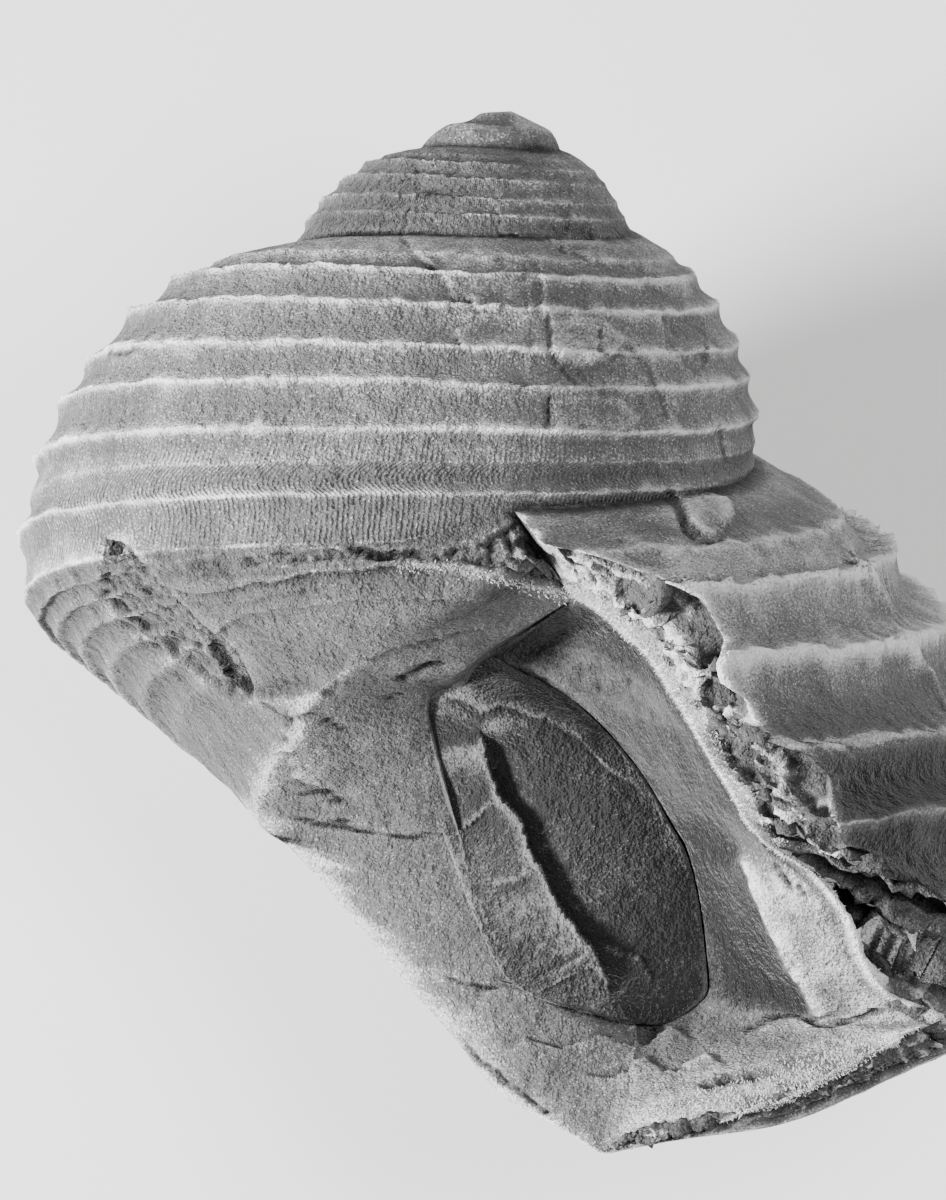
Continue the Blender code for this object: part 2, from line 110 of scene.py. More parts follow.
# The broken edge of the outer lip: drop along the axis against distance across.
BREAK_EDGE = ((6.80, 1.16), (7.36, 1.72), (7.42, 2.69), (7.64, 3.88), (7.98, 4.88), (8.68, 5.40),
              (9.17, 5.28), (9.53, 5.52), (9.76, 5.99), (10.47, 6.38), (10.56, 7.16), (10.96, 7.70),
              (11.61, 7.88), (12.17, 8.06), (12.28, 8.74), (12.70, 8.95), (12.72, 9.63),
              (13.0, 10.21), (14.1, 10.95), (15.1, 11.4), (15.8, 11.5))
# The basal edge, from the lip's lower corner to the tip: share of the base, across, down, towards.
BASAL_EDGE = ((0.0, 11.4, 15.6, 4.6), (0.15, 10.67, 15.8, 5.5), (0.4, 9.0, 16.84, 6.5),
              (0.6, 7.73, 17.56, 7.0), (0.8, 5.89, 18.1, 7.3), (1.0, 4.42, 18.59, 7.0))

# The broken section's rows down the lip, as heights of the whorl. The rings' shares are counted evenly over
# them up to 0.6, then over the base and the fold.
LIP_ROWS = (0.0, 0.164, 0.324, 0.441, 0.558, 0.7075, 0.857, 0.9855, 1.114, 1.276, 1.438, 1.543, 1.648,
            1.876, 1.95, CUT_HEIGHT)
SECTION_SHARE = 0.6
BASE_PARTS, RIM_PARTS = 10, 13
FOLD_PARTS, LEFT_PARTS = 54, 67

# Rings of the mouth, right side: share of the way from the lip's top to the tip, x, y, towards.
LIP_INNER = ((0.0, 572, 597, 5.3), (0.03, 592, 607, 5.6), (0.06, 611, 622, 5.9),
             (0.105, 641, 650, 6.7), (0.185, 675, 700, 7.7), (0.294, 725, 785, 8.2),
             (0.37, 757, 835, 8.2), (0.42, 802, 864, 8.1), (0.47, 840, 905, 7.7),
             (0.52, 857, 950, 7.3), (0.57, 880, 985, 6.9), (0.62, 935, 1010, 6.4),
             (0.70, 900, 1030, 6.7), (0.78, 845, 1068, 7.2), (0.86, 755, 1106, 7.6),
             (0.93, 690, 1119, 7.7), (1.0, 604, 1138, 7.3))
WALL_RIDGE = ((0.0, 542, 624, 3.9), (0.06, 580, 642, 4.2), (0.105, 605, 662, 4.6),
              (0.185, 645, 712, 5.4), (0.294, 700, 795, 6.2), (0.37, 737, 840, 6.8),
              (0.47, 767, 903, 6.8), (0.52, 792, 956, 6.4), (0.57, 812, 990, 5.9),
              (0.62, 822, 1012, 5.6), (0.70, 792, 1018, 5.2), (0.78, 745, 1030, 4.9),
              (0.86, 705, 1042, 5.2), (0.93, 665, 1058, 5.5), (1.0, 620, 1080, 5.8))
PLUG_BORDER_RIGHT = ((0.0, 495, 656, 2.6), (0.06, 520, 670, 2.7), (0.105, 548, 684, 2.9),
                     (0.185, 590, 714, 3.2), (0.294, 640, 770, 3.5), (0.37, 670, 820, 3.7),
                     (0.47, 690, 860, 3.8), (0.52, 700, 905, 3.8), (0.57, 706, 955, 3.8),
                     (0.62, 708, 985, 3.8), (0.70, 697, 1002, 3.9), (0.78, 680, 1014, 4.0),
                     (0.86, 662, 1022, 4.1), (1.0, 635, 1022, 4.2))
# Left side: share of the way from the tip back up to the lip's top, x, y, towards.
PLUG_BORDER_LEFT = ((0.0, 635, 1022, 4.6), (0.2, 590, 1008, 4.8), (0.32, 545, 992, 4.6),
                    (0.43, 517, 968, 4.2), (0.53, 490, 912, 3.6), (0.6, 470, 862, 3.1),
                    (0.68, 449, 800, 2.6), (0.74, 436, 740, 2.9), (0.78, 433, 695, 3.2),
                    (0.84, 462, 675, 3.0), (0.9, 480, 664, 2.8), (1.0, 495, 656, 2.6))
# How far the lip's inner edge hangs over the wall, and the depth of the plug's pocket, in millimetres.
LIP_OVERHANG = 0.8
POCKET_DEPTH = 0.9

# The plug of matrix, in millimetres: the crack on its right, how far it laps under the inner lip, how thick
# it is at its edge and how far its middle swells. Then its points along and across.
PLUG_GAP = 0.035
PLUG_LAP = 0.30
PLUG_THICKNESS = 0.5
PLUG_SWELL = 0.45
PLUG_ROWS, PLUG_COLUMNS, UNDERSIDE_STEP = 230, 131, 10

# The most triangles that a finished piece keeps.
MOST_TRIANGLES = 196000

# Damage picked on the photograph, in its pixels. Cracks: width in pixels, depth in mm, points. Each crack is
# also darkened with painted shade.
CRACKS = (
    (3.0, 0.13, ((470, 830), (440, 838), (400, 832), (350, 825), (320, 822), (290, 815))),
    (3.5, 0.15, ((300, 795), (330, 793), (344, 803), (346, 822))),
    (3.0, 0.12, ((545, 960), (570, 965), (590, 975), (605, 980), (615, 990), (625, 1010), (640, 1020),
                 (655, 1025))),
    (3.0, 0.05, ((546, 318), (549, 350), (556, 366), (578, 388))),
    (3.0, 0.05, ((718, 425), (722, 445), (725, 465))),
    (3.0, 0.05, ((548, 398), (549, 415), (546, 432))),
    (4.0, 0.16, ((400, 680), (425, 668), (445, 664))),
    (3.0, 0.10, ((385, 700), (400, 692))),
    (3.0, 0.12, ((772, 860), (781, 874), (790, 888))),
    (2.5, 0.10, ((793, 882), (801, 893))),
    (3.5, 0.16, ((738, 1028), (767, 1014), (792, 1012), (816, 1022), (835, 1017), (855, 1016), (890, 1003),
                 (908, 1007), (945, 1001))),
    (5.0, 0.20, ((700, 1077), (735, 1073), (775, 1065))),
    (3.0, 0.08, ((444, 976), (480, 984), (520, 988), (544, 962))),
    (3.0, 0.05, ((100, 349), (122, 355), (146, 350))),
    (3.0, 0.08, ((260, 700), (290, 720), (320, 712), (345, 730))),
    (2.5, 0.06, ((288, 722), (284, 745), (292, 770))),
    (4.0, 0.10, ((666, 490), (683, 530), (696, 542), (722, 540))),
    (2.5, 0.04, ((411, 205), (398, 240), (412, 250))),
    (2.5, 0.03, ((497, 222), (500, 236), (540, 240))),
    (2.5, 0.04, ((600, 330), (598, 350), (612, 362), (640, 352))),
    (5.0, 0.10, ((345, 548), (380, 556), (425, 553))),
    (3.0, 0.04, ((207, 640), (210, 655), (218, 668), (232, 682), (246, 694))),
    (3.5, 0.14, ((452, 1028), (480, 1058), (515, 1085), (550, 1110))),
)
# Ledges: the surface steps down on the right-hand side of the line. Step in mm, reach in pixels, points.
LEDGES = (
    (0.12, 16, ((412, 250), (425, 265), (440, 275), (455, 300), (470, 300), (480, 310))),
    (0.09, 30, ((320, 690), (290, 697), (245, 695), (215, 665), (208, 640), (245, 612))),
    (0.05, 14, ((560, 205), (572, 225), (560, 250), (590, 262), (640, 270))),
    (0.05, 12, ((640, 350), (655, 380), (662, 400), (670, 425))),
    (0.06, 26, ((490, 320), (456, 332), (462, 350), (520, 352), (545, 360))),
    (0.10, 22, ((655, 985), (640, 955), (600, 940), (565, 962), (520, 985), (490, 990), (470, 1010))),
    (0.09, 22, ((700, 1040), (668, 1022), (640, 1042), (600, 1030), (560, 1045), (530, 1035), (500, 1052))),
    (0.08, 22, ((736, 1066), (700, 1050), (660, 1068), (640, 1052), (612, 1075), (575, 1070))),
    (0.10, 24, ((310, 715), (285, 745), (292, 775), (330, 790))),
    (0.05, 18, ((640, 1110), (700, 1085), (760, 1068), (800, 1050), (850, 1030))),
    (0.12, 16, ((160, 590), (220, 592), (300, 575), (400, 566), (460, 566))),
    (0.04, 10, ((180, 604), (240, 602), (330, 585))),
    (0.05, 8, ((215, 617), (300, 608), (400, 596), (500, 606))),
    (0.04, 8, ((340, 664), (420, 642), (500, 624))),
)
# Ridges: width in pixels, height in mm, points.
RIDGES = (
    (30, 0.16, ((822, 520), (841, 534), (862, 575), (883, 613), (905, 650), (925, 683), (950, 730))),
    (7, 0.08, ((822, 520), (841, 534), (862, 575), (883, 613), (905, 650), (925, 683), (950, 730))),
    (8, 0.04, ((666, 1022), (670, 1040), (675, 1062))),
    (18, 0.26, ((741, 838), (767, 903), (792, 956), (816, 993), (821, 1014))),
    (9, 0.09, ((120, 560), (170, 562), (230, 550), (300, 545), (360, 552))),
    (6, 0.05, ((150, 583), (230, 580), (300, 574), (400, 564))),
)
# Patches: height in mm, soft edge in pixels, how worn, how dark, corners. How dark is painted shade on the
# sunk hollows; below 0 it is a lighter tone on worn patches.
PATCHES = (
    (-0.05, 3, 0.3, 0.0, ((245, 615), (300, 612), (352, 655), (335, 700), (315, 690), (245, 695),
                          (215, 665), (208, 640))),
    (-0.03, 3, 0.4, -0.3, ((413, 160), (470, 168), (500, 190), (498, 236), (440, 240), (415, 215))),
    (0.15, 2, 0.0, 0.0, ((671, 493), (688, 528), (700, 537), (720, 535), (733, 517), (726, 500),
                         (702, 492))),
    (0.02, 8, 0.55, -0.3, ((545, 640), (600, 650), (660, 690), (692, 735), (640, 722), (580, 690))),
    (0.04, 5, 0.9, -0.2, ((240, 554), (330, 545), (420, 547), (430, 562), (330, 566), (240, 573))),
    (-0.10, 5, 0.6, 0.2, ((108, 538), (124, 542), (120, 560), (106, 556))),
    (-0.35, 2, 0.0, 1.0, ((342, 808), (350, 812), (349, 824), (341, 822))),
    (-0.05, 10, 0.85, 0.0, ((100, 530), (135, 542), (185, 600), (240, 650), (262, 705), (235, 705),
                            (180, 665), (140, 650), (95, 600))),
    (0.03, 3, 0.45, -0.25, ((548, 322), (600, 316), (628, 340), (612, 362), (570, 372), (552, 352))),
    (0.03, 3, 0.45, -0.2, ((549, 402), (580, 394), (622, 400), (640, 416), (634, 436), (580, 428),
                           (556, 434))),
    (0.03, 3, 0.3, -0.1, ((640, 262), (690, 276), (712, 300), (668, 300), (640, 284))),
    (-0.04, 3, 0.5, 0.0, ((660, 310), (700, 316), (712, 350), (700, 380), (664, 352))),
    (-0.02, 4, 0.5, -0.2, ((560, 325), (600, 330), (640, 350), (680, 420), (600, 400), (562, 372))),
    (-0.03, 3, 0.6, -0.2, ((540, 225), (590, 222), (600, 250), (560, 256))),
    (-0.04, 3, 0.5, -0.3, ((425, 258), (470, 250), (540, 262), (545, 318), (480, 318), (455, 300))),
    (0.04, 8, 1.0, 0.0, ((400, 556), (430, 548), (480, 535), (514, 518), (545, 545), (575, 596), (503, 580),
                         (457, 569), (400, 567))),
    (0.0, 10, 0.48, 0.0, ((480, 985), (560, 955), (640, 995), (700, 1035), (745, 1062), (700, 1085),
                          (620, 1080), (560, 1060), (500, 1050))),
    (0.0, 10, 0.45, 0.0, ((300, 690), (400, 700), (440, 800), (400, 830), (300, 815), (280, 760))),
    (-0.70, 8, 0.4, 0.9, ((833, 882), (872, 893), (905, 925), (925, 950), (946, 962), (946, 985), (905, 962),
                          (866, 955), (850, 915))),
)
# Where the lip's white fibrous edge runs on along the parietal wall.
FRINGE_LINE = ((400, 568), (457, 569), (503, 581), (538, 589), (572, 597), (597, 609))

# The plug's own forms, as tables like those above.
PLUG_RIDGES = (
    (6, 0.04, ((500, 800), (478, 815), (465, 828), (465, 850), (475, 890), (490, 920), (510, 960),
               (520, 985))),
    (6, 0.03, ((530, 870), (500, 880), (480, 905))),
)
PLUG_LEDGES = (
    (0.62, 28, ((612, 1000), (600, 960), (575, 925), (555, 900), (545, 875), (530, 850), (520, 820),
                (497, 790), (490, 770), (483, 745), (478, 728))),
    (0.08, 14, ((440, 695), (465, 700), (480, 713), (500, 705), (549, 721), (580, 739), (608, 771),
                (632, 782), (655, 820))),
    (0.08, 20, ((520, 985), (490, 925), (470, 880), (462, 830), (500, 798))),
    (0.04, 16, ((655, 985), (640, 955), (600, 940), (565, 962), (520, 985))),
)


# Curves and frames

def smooth(places, knots):
    """Values on a smooth curve through knots, whose first number is the place along it."""
    table = np.array(knots, dtype=float)
    x, y = table[:, 0], table[:, 1:]
    places = np.clip(np.asarray(places, dtype=float), x[0], x[-1])
    rise = np.diff(y, axis=0) / np.diff(x)[:, None]
    slope = np.vstack([rise[:1], (rise[:-1] + rise[1:]) / 2.0, rise[-1:]])
    i = np.clip(np.searchsorted(x, places, side="right") - 1, 0, len(x) - 2)
    step = (x[i + 1] - x[i])[..., None]
    t = (places - x[i])[..., None] / step
    start, end = (1 + 2 * t) * (1 - t) ** 2, t * t * (3 - 2 * t)
    bend = t * (1 - t) ** 2 * slope[i] - t * t * (1 - t) * slope[i + 1]
    return start * y[i] + end * y[i + 1] + step * bend


def ramp(values, low, high):
    """A smooth step from 0 at low to 1 at high."""
    t = np.clip((np.asarray(values, dtype=float) - low) / (high - low), 0.0, 1.0)
    return t * t * (3 - 2 * t)


def waves(x, y, seed, scale=1.0, octaves=4):
    """Soft uneven waves between about -1 and 1 over two coordinates."""
    rng = np.random.default_rng(seed)
    total, weight = 0.0, 0.0
    for octave in range(octaves):
        for _ in range(3):
            fx, fy = rng.normal(size=2) * scale * 1.9 ** octave
            total = total + 0.6 ** octave * np.sin(fx * x + fy * y + rng.uniform(0, 6.28))
        weight += 0.6 ** octave
    return total / (1.6 * weight)


def from_photo(points):
    """Shell-frame points for rows of x and y in pixels and millimetres towards the viewer."""
    points = np.asarray(points, dtype=float)
    dx = (points[..., 0] - AXIS_PIXEL[0]) / PIXELS_PER_MM
    dy = (points[..., 1] - AXIS_PIXEL[1]) / PIXELS_PER_MM
    across = dx * math.cos(AXIS_TILT) + dy * math.sin(AXIS_TILT)
    down = dy * math.cos(AXIS_TILT) - dx * math.sin(AXIS_TILT)
    return np.stack([across, down, points[..., 2]], axis=-1)


def to_photo(points):
    """Rows of x and y in pixels and millimetres towards the viewer for shell-frame points."""
    across, down = points[..., 0], points[..., 1]
    x = across * math.cos(AXIS_TILT) - down * math.sin(AXIS_TILT)
    y = across * math.sin(AXIS_TILT) + down * math.cos(AXIS_TILT)
    return np.stack([AXIS_PIXEL[0] + PIXELS_PER_MM * x, AXIS_PIXEL[1] + PIXELS_PER_MM * y,
                     points[..., 2]], axis=-1)


def upright(points):
    """Shell-frame points with the view's right, up and out as x, y and z."""
    c, s = math.cos(AXIS_TILT), math.sin(AXIS_TILT)
    x = points[..., 0] * c - points[..., 1] * s
    y = -(points[..., 0] * s + points[..., 1] * c)
    return np.stack([x, y, points[..., 2]], axis=-1)


def settled(points):
    """Shell-frame millimetres to metres in the frame the fossil lies in."""
    return (upright(np.asarray(points, dtype=float)) @ REST_TURN.T + REST_SHIFT) * MM


# The outside

def nearest(places, line):
    """Distance from each place to a line of points, on its right if above 0, and the share along it."""
    line = np.array(line, dtype=float)
    ways = np.diff(line, axis=0)
    units = ways / np.linalg.norm(ways, axis=1)[:, None]
    best = np.full(len(places), 1e9)
    side, along = np.zeros(len(places)), np.zeros(len(places))
    for k, (a, way) in enumerate(zip(line[:-1], ways)):
        t = np.clip((places - a) @ way / (way @ way), 0.0, 1.0)
        off = places - a - t[:, None] * way
        reach = np.hypot(off[:, 0], off[:, 1])
        closer = reach < best
        best = np.where(closer, reach, best)
        before, after = units[max(k - 1, 0)], units[min(k + 1, len(ways) - 1)]
        at_start, at_end = (t <= 0.0)[:, None], (t >= 1.0)[:, None]
        heading = units[k] + np.where(at_start, before, 0.0) + np.where(at_end, after, 0.0)
        turn = np.sign(heading[:, 0] * off[:, 1] - heading[:, 1] * off[:, 0])
        side = np.where(closer, turn, side)
        along = np.where(closer, (k + t) / len(ways), along)
    return best, side, along


def inside(places, corners):
    """Which places lie inside a polygon."""
    found = np.zeros(len(places), dtype=bool)
    for a, b in zip(corners, np.roll(np.array(corners, dtype=float), -1, axis=0)):
        crosses = (a[1] > places[:, 1]) != (b[1] > places[:, 1])
        rise = b[1] - a[1] if b[1] != a[1] else 1e-9
        found ^= crosses & (places[:, 0] < (b[0] - a[0]) * (places[:, 1] - a[1]) / rise + a[0])
    return found


def damage(points, facing, cracks, ledges, ridges, patches):
    """Rise in mm, wear, and crack marks of painted shade with the patches' tone, at shell-frame points, faded
    out where they turn from the viewer.
    """
    seen = to_photo(points)
    places = seen[:, :2] + 2.0 * np.stack([waves(seen[:, 0] / 9, seen[:, 1] / 9, 21),
                                           waves(seen[:, 0] / 9, seen[:, 1] / 9, 22)], axis=1)
    rise, wear, crack_shade_and_patch_tone = np.zeros(len(points)), np.zeros(len(points)), np.zeros(len(points))
    front = np.where(facing > 0.12)[0]

    def near(line, margin):
        low, high = np.min(line, axis=0) - margin, np.max(line, axis=0) + margin
        spot = places[front]
        return front[np.all((spot > low) & (spot < high), axis=1)]

    for width, depth, line in cracks:
        who = near(line, 12)
        away, _, along = nearest(places[who], line)
        ends = ramp(along, 0.0, 0.04) * (1.0 - ramp(along, 0.96, 1.0))
        ragged = np.clip(0.75 + 0.5 * waves(along * len(line) * 7, width, 23), 0.15, 1.0)
        cut = np.exp(-(away / (0.6 * width)) ** 2) * ends * ragged
        rise[who] -= depth * cut
        # The crack mark darkens the crack: painted shade.
        crack_shade_and_patch_tone[who] = np.maximum(crack_shade_and_patch_tone[who], cut)
    for step, reach, line in ledges:
        who = near(line, 5 * reach)
        away, side, along = nearest(places[who], line)
        ends = ramp(along, 0.0, 0.15) * (1.0 - ramp(along, 0.85, 1.0))
        edge = np.exp(-away / np.where(side > 0, reach, 2.0 * reach)) * ends
        rise[who] += step * edge * np.where(side > 0, -0.6, 0.4)
        wear[who] = np.maximum(wear[who], 0.4 * edge * (side > 0))
    for width, height, line in ridges:
        who = near(line, 3 * width)
        away, _, along = nearest(places[who], line)
        ends = ramp(along, 0.0, 0.1) * (1.0 - ramp(along, 0.9, 1.0))
        rise[who] += height * np.exp(-away / (0.6 * width)) * ends
    for height, soft, worn, dark, corners in patches:
        who = near(corners, soft)
        away, _, _ = nearest(places[who], corners + corners[:1])
        amount = inside(places[who], corners) * ramp(away, 0.0, soft)
        rise[who] += height * amount
        wear[who] = np.maximum(wear[who], worn * amount)
        # How dark is painted shade over the sunk hollows; below 0 the worn patches take a lighter tone.
        crack_shade_and_patch_tone[who] += dark * amount
    shown = ramp(facing, 0.12, 0.40)
    return rise * shown, wear * shown, crack_shade_and_patch_tone * shown


def growth(turns):
    """Size of the whorl at each half turn, against its size at half turn 0."""
    return HALF_TURN_GROWTH ** np.asarray(turns, dtype=float)


def around(turns, radius, down):
    """Shell-frame points at a radius about the coiling axis."""
    angle = np.pi * turns
    return np.stack([radius * np.cos(angle), down, radius * np.sin(angle)], axis=-1)


def cord_place(turns, height):
    """Height against the cords, which wander a little up and down."""
    return height + 0.010 * waves(turns * 26, height * 3, 3) + 0.004 * waves(turns * 110, height * 9, 4)


def cord_relief(turns, height):
    """How far the cords stand out: a sharp crest at each, steeper below it, with a hollow between."""
    crests = np.array((-0.3, 0.0) + CORDS + (LOW_CORD_HEIGHT, 2.5))
    weights = np.array([0.2, 0.2] + [0.35 if c in WEAK_CORDS else 1.0 for c in CORDS] + [1.0, 0.2])
    place = np.clip(cord_place(turns, height), 0.0, 2.45)
    i = np.clip(np.searchsorted(crests, place, side="right") - 1, 0, len(crests) - 2)
    t = (place - crests[i]) / (crests[i + 1] - crests[i])
    rough = 1.0 + 0.25 * waves(turns * 34, i * 2.0, 5) + 0.12 * waves(turns * 150, i * 2.0, 6)
    weight = weights[i] + (weights[i + 1] - weights[i]) * ramp(t, 0.3, 0.7)
    relief = np.abs(2.0 * t ** 0.7 - 1.0) ** 1.8 * weight * rough
    relief = relief * CORD_HEIGHT * growth(turns)
    return relief * ramp(turns, -0.6, 0.6) * (1.0 + 0.5 * ramp(turns, 3.4, 4.0))


def narrowing(height):
    """How the whorl draws in from its last cord but one to its lowest cord."""
    share = np.clip((height - CORDS[-1]) / (LOW_CORD_HEIGHT - CORDS[-1]), 0.0, 1.0)
    return 1.0 - (1.0 - LOW_CORD_RADIUS) * share ** 2


def cut_height(turns):
    """Height at which the next whorl covers this one, or would."""
    below = smooth(np.minimum(turns + 2.0, LIP_TURN), SEAM)[..., 1]
    return (below - smooth(turns, SEAM)[..., 1]) / growth(turns)


def plain_radius(turns, height):
    """Radius of the whorl's outline before any relief."""
    size = growth(turns)
    seam = smooth(turns, SEAM)[..., 0]
    power = smooth(turns, SHOULDER_POWER)[..., 0]
    filled = 1.0 - (1.0 - np.minimum(height / (0.9 * FULL_HEIGHT), 1.0)) ** 2
    return (seam + (WHORL_RADIUS * size - seam) * filled ** power) * narrowing(height)


def whorl(turns, height):
    """The outside of a whorl at heights below its upper seam."""
    turns, height = np.broadcast_arrays(np.asarray(turns, float), np.asarray(height, float))
    size = growth(turns)
    covered = np.minimum(turns, CUT_TURN)
    cut = cut_height(covered)
    hold = 1.0 - ramp(turns, CUT_TURN, CUT_TURN + 0.35)
    gap = smooth(covered + 2.0, SEAM)[..., 0] - plain_radius(covered, cut)
    radius = plain_radius(turns, height) + hold * gap * np.minimum(height / cut, 1.0) ** 4
    fade = ramp(height, 0.0, 0.10) * (1.0 - hold * ramp(height, cut - 0.10, cut))
    relief = cord_relief(turns, height) * fade
    slant = np.pi / 2 * np.clip(1.0 - height / FULL_HEIGHT, 0.0, 1.0)
    down = smooth(turns, SEAM)[..., 1] + height * size - relief * np.sin(slant)
    return around(turns, radius + relief * np.cos(slant), down)


def low_height(turns):
    """Height of the last row above the base: the seam's at the cut, the lowest cord's after it."""
    start = cut_height(np.array(CUT_TURN))
    return start + (LOW_CORD_HEIGHT - start) * ramp(turns, CUT_TURN, CUT_TURN + 0.12)


def base(start, turns, share):
    """The base, from the lowest cord at share 0 to the folded lip's edge at 1 and its inner margin at 2."""
    turns, share = np.broadcast_arrays(np.asarray(turns, float), np.asarray(share, float))
    reach = (WHORL_RADIUS * growth(turns))[..., None]
    edge = from_photo(smooth(turns, FOLD_EDGE))
    margin = from_photo(smooth(turns, INNER_MARGIN))
    out = around(turns, np.ones_like(turns), np.zeros_like(turns))
    down = np.array((0.0, 1.0, 0.0))
    front = 1.0 - ramp(turns, 2.6, 3.0)[..., None]
    drop = (0.14 - 0.02 * ramp(turns, 3.0, 4.0))[..., None]
    first = start - out * reach * 0.09 + down * reach * 0.06
    second = start - out * reach * 0.30 + down * reach * drop
    middle = start + (edge - start) * 0.66 + np.array((0.0, 0.3, 0.9))
    second = second + (middle - second) * front
    first = first + (start + down * 0.9 + (edge - start) * 0.1 - first) * front
    t = np.clip(share, 0.0, 1.0)[..., None]
    over = (1 - t) ** 3 * start + 3 * t * (1 - t) ** 2 * first
    over += 3 * t * t * (1 - t) * second + t ** 3 * edge
    s = np.clip(share - 1.0, 0.0, 1.0)[..., None]
    bulge = (0.3 * np.sin(np.pi * s)) * np.array((0.0, 0.0, 1.0)) * ramp(turns, 2.7, 3.1)[..., None]
    phase = share * BASE_CORDS + 0.06 * waves(turns * 20, share * 6, 8)
    cords = np.abs(np.cos(np.pi * phase)) ** 3 * (share < 0.97)
    fade = ramp(share, 0.0, 0.12) * (1.0 - ramp(share, 0.6, 0.9)) * ramp(turns, 2.78, 2.98)
    over += down * (BASE_CORD_HEIGHT * growth(turns) * cords * fade)[..., None]
    return np.where(share[..., None] <= 1.0, over, edge + (margin - edge) * s + bulge)


def lip_turns(heights):
    """The half turn at which each row of the outside meets the broken edge of the lip."""
    low = np.full(len(heights), 3.9)
    high = np.full(len(heights), LIP_TURN)
    edge = np.array(BREAK_EDGE)
    for _ in range(30):
        middle = (low + high) / 2.0
        point = whorl(middle, heights)
        beyond = point[:, 0] < np.interp(point[:, 1], edge[:, 0], edge[:, 1])
        low, high = np.where(beyond, low, middle), np.where(beyond, middle, high)
    high[0] = LIP_TURN
    return high


def last_turn(heights, shares, columns):
    """The last whorl with its base, with the growth and the place of each point.

    Its rows are heights as shares of the whorl's own height, then shares of the base and the fold.
    """
    full = heights * LOW_CORD_HEIGHT
    ends = lip_turns(full)
    base_ends = ends[-1] + (FOLD_END - ends[-1]) * np.minimum(shares, 1.0)
    pull = ramp(columns, 3.3, LIP_TURN)[:, None]
    # The columns draw together so that the last one lies on the broken edge.
    upper = columns[:, None] + pull * (ends[None, :] - LIP_TURN)
    below = heights[None, :] * low_height(columns)[:, None]
    outside = whorl(upper, below)
    corner = smooth(0.0, BASAL_EDGE) - outside[-1, -1]
    low_rows = ramp(full, CORDS[-3], CUT_HEIGHT)
    outside += (ramp(columns, 3.7, LIP_TURN)[:, None] * low_rows[None, :])[..., None] * corner
    lower = columns[:, None] + pull * (base_ends[None, :] - LIP_TURN)
    under = base(outside[:, -1:, :], lower, shares[None, :])
    target = smooth(np.minimum(shares, 1.0), BASAL_EDGE)
    under += ramp(columns, 3.7, LIP_TURN)[:, None, None] * (target - under[-1])[None, :, :]
    under_place = np.broadcast_to(LOW_CORD_HEIGHT + shares, lower.shape)
    place = np.concatenate([cord_place(upper, below), under_place], axis=1)
    return np.concatenate([outside, under], axis=1), np.concatenate([upper, lower], axis=1), place


# Gathering the skin

class Skin:
    """Points with their growth values, and faces, gathered patch by patch."""

    def __init__(self):
        self.points, self.faces = [], []
        self.turn, self.height, self.zone = [], [], []
        self.count = 0

    def add(self, points, turn, height, zone):
        """Adds an array of points and returns their numbers in the same shape."""
        shape = points.shape[:-1]
        self.points.append(points.reshape(-1, 3))
        for store, value in ((self.turn, turn), (self.height, height), (self.zone, zone)):
            store.append(np.broadcast_to(value, shape).reshape(-1).astype(float))
        numbers = np.arange(self.count, self.count + int(np.prod(shape)))
        self.count += len(numbers)
        return numbers.reshape(shape)

    def grid(self, numbers):
        """Pairs of triangles between neighbouring rows and columns."""
        a, b = numbers[:-1, :-1].ravel(), numbers[:-1, 1:].ravel()
        c, d = numbers[1:, 1:].ravel(), numbers[1:, :-1].ravel()
        self.faces.append(np.stack([a, b, c], axis=1))
        self.faces.append(np.stack([a, c, d], axis=1))

    def zip(self, left, left_places, right, right_places):
        """Triangles between two lines of points with different spacing."""
        i, j, made = 0, 0, []
        while i < len(left) - 1 or j < len(right) - 1:
            step_left = j == len(right) - 1
            if i < len(left) - 1 and not step_left:
                step_left = left_places[i + 1] <= right_places[j + 1]
            if step_left:
                made.append((left[i], right[j], left[i + 1]))
                i += 1
            else:
                made.append((left[i], right[j], right[j + 1]))
                j += 1
        self.faces.append(np.array(made))

    def fan(self, loop, centre):
        """Triangles from a closed loop to one point."""
        after = np.roll(loop, -1)
        self.faces.append(np.stack([loop, after, np.full(len(loop), centre)], axis=1))

    def arrays(self):
        """All points, faces and values as arrays."""
        return (np.concatenate(self.points), np.concatenate(self.faces), np.concatenate(self.turn),
                np.concatenate(self.height), np.concatenate(self.zone))


def spread(*parts):
    """Column places from runs of (start, end, count), without repeats."""
    runs = [np.linspace(a, b, n, endpoint=False) for a, b, n in parts]
    return np.concatenate(runs)


ZONE_OUTSIDE, ZONE_BASE, ZONE_FOLD, ZONE_BROKEN, ZONE_INSIDE, ZONE_POCKET = range(6)


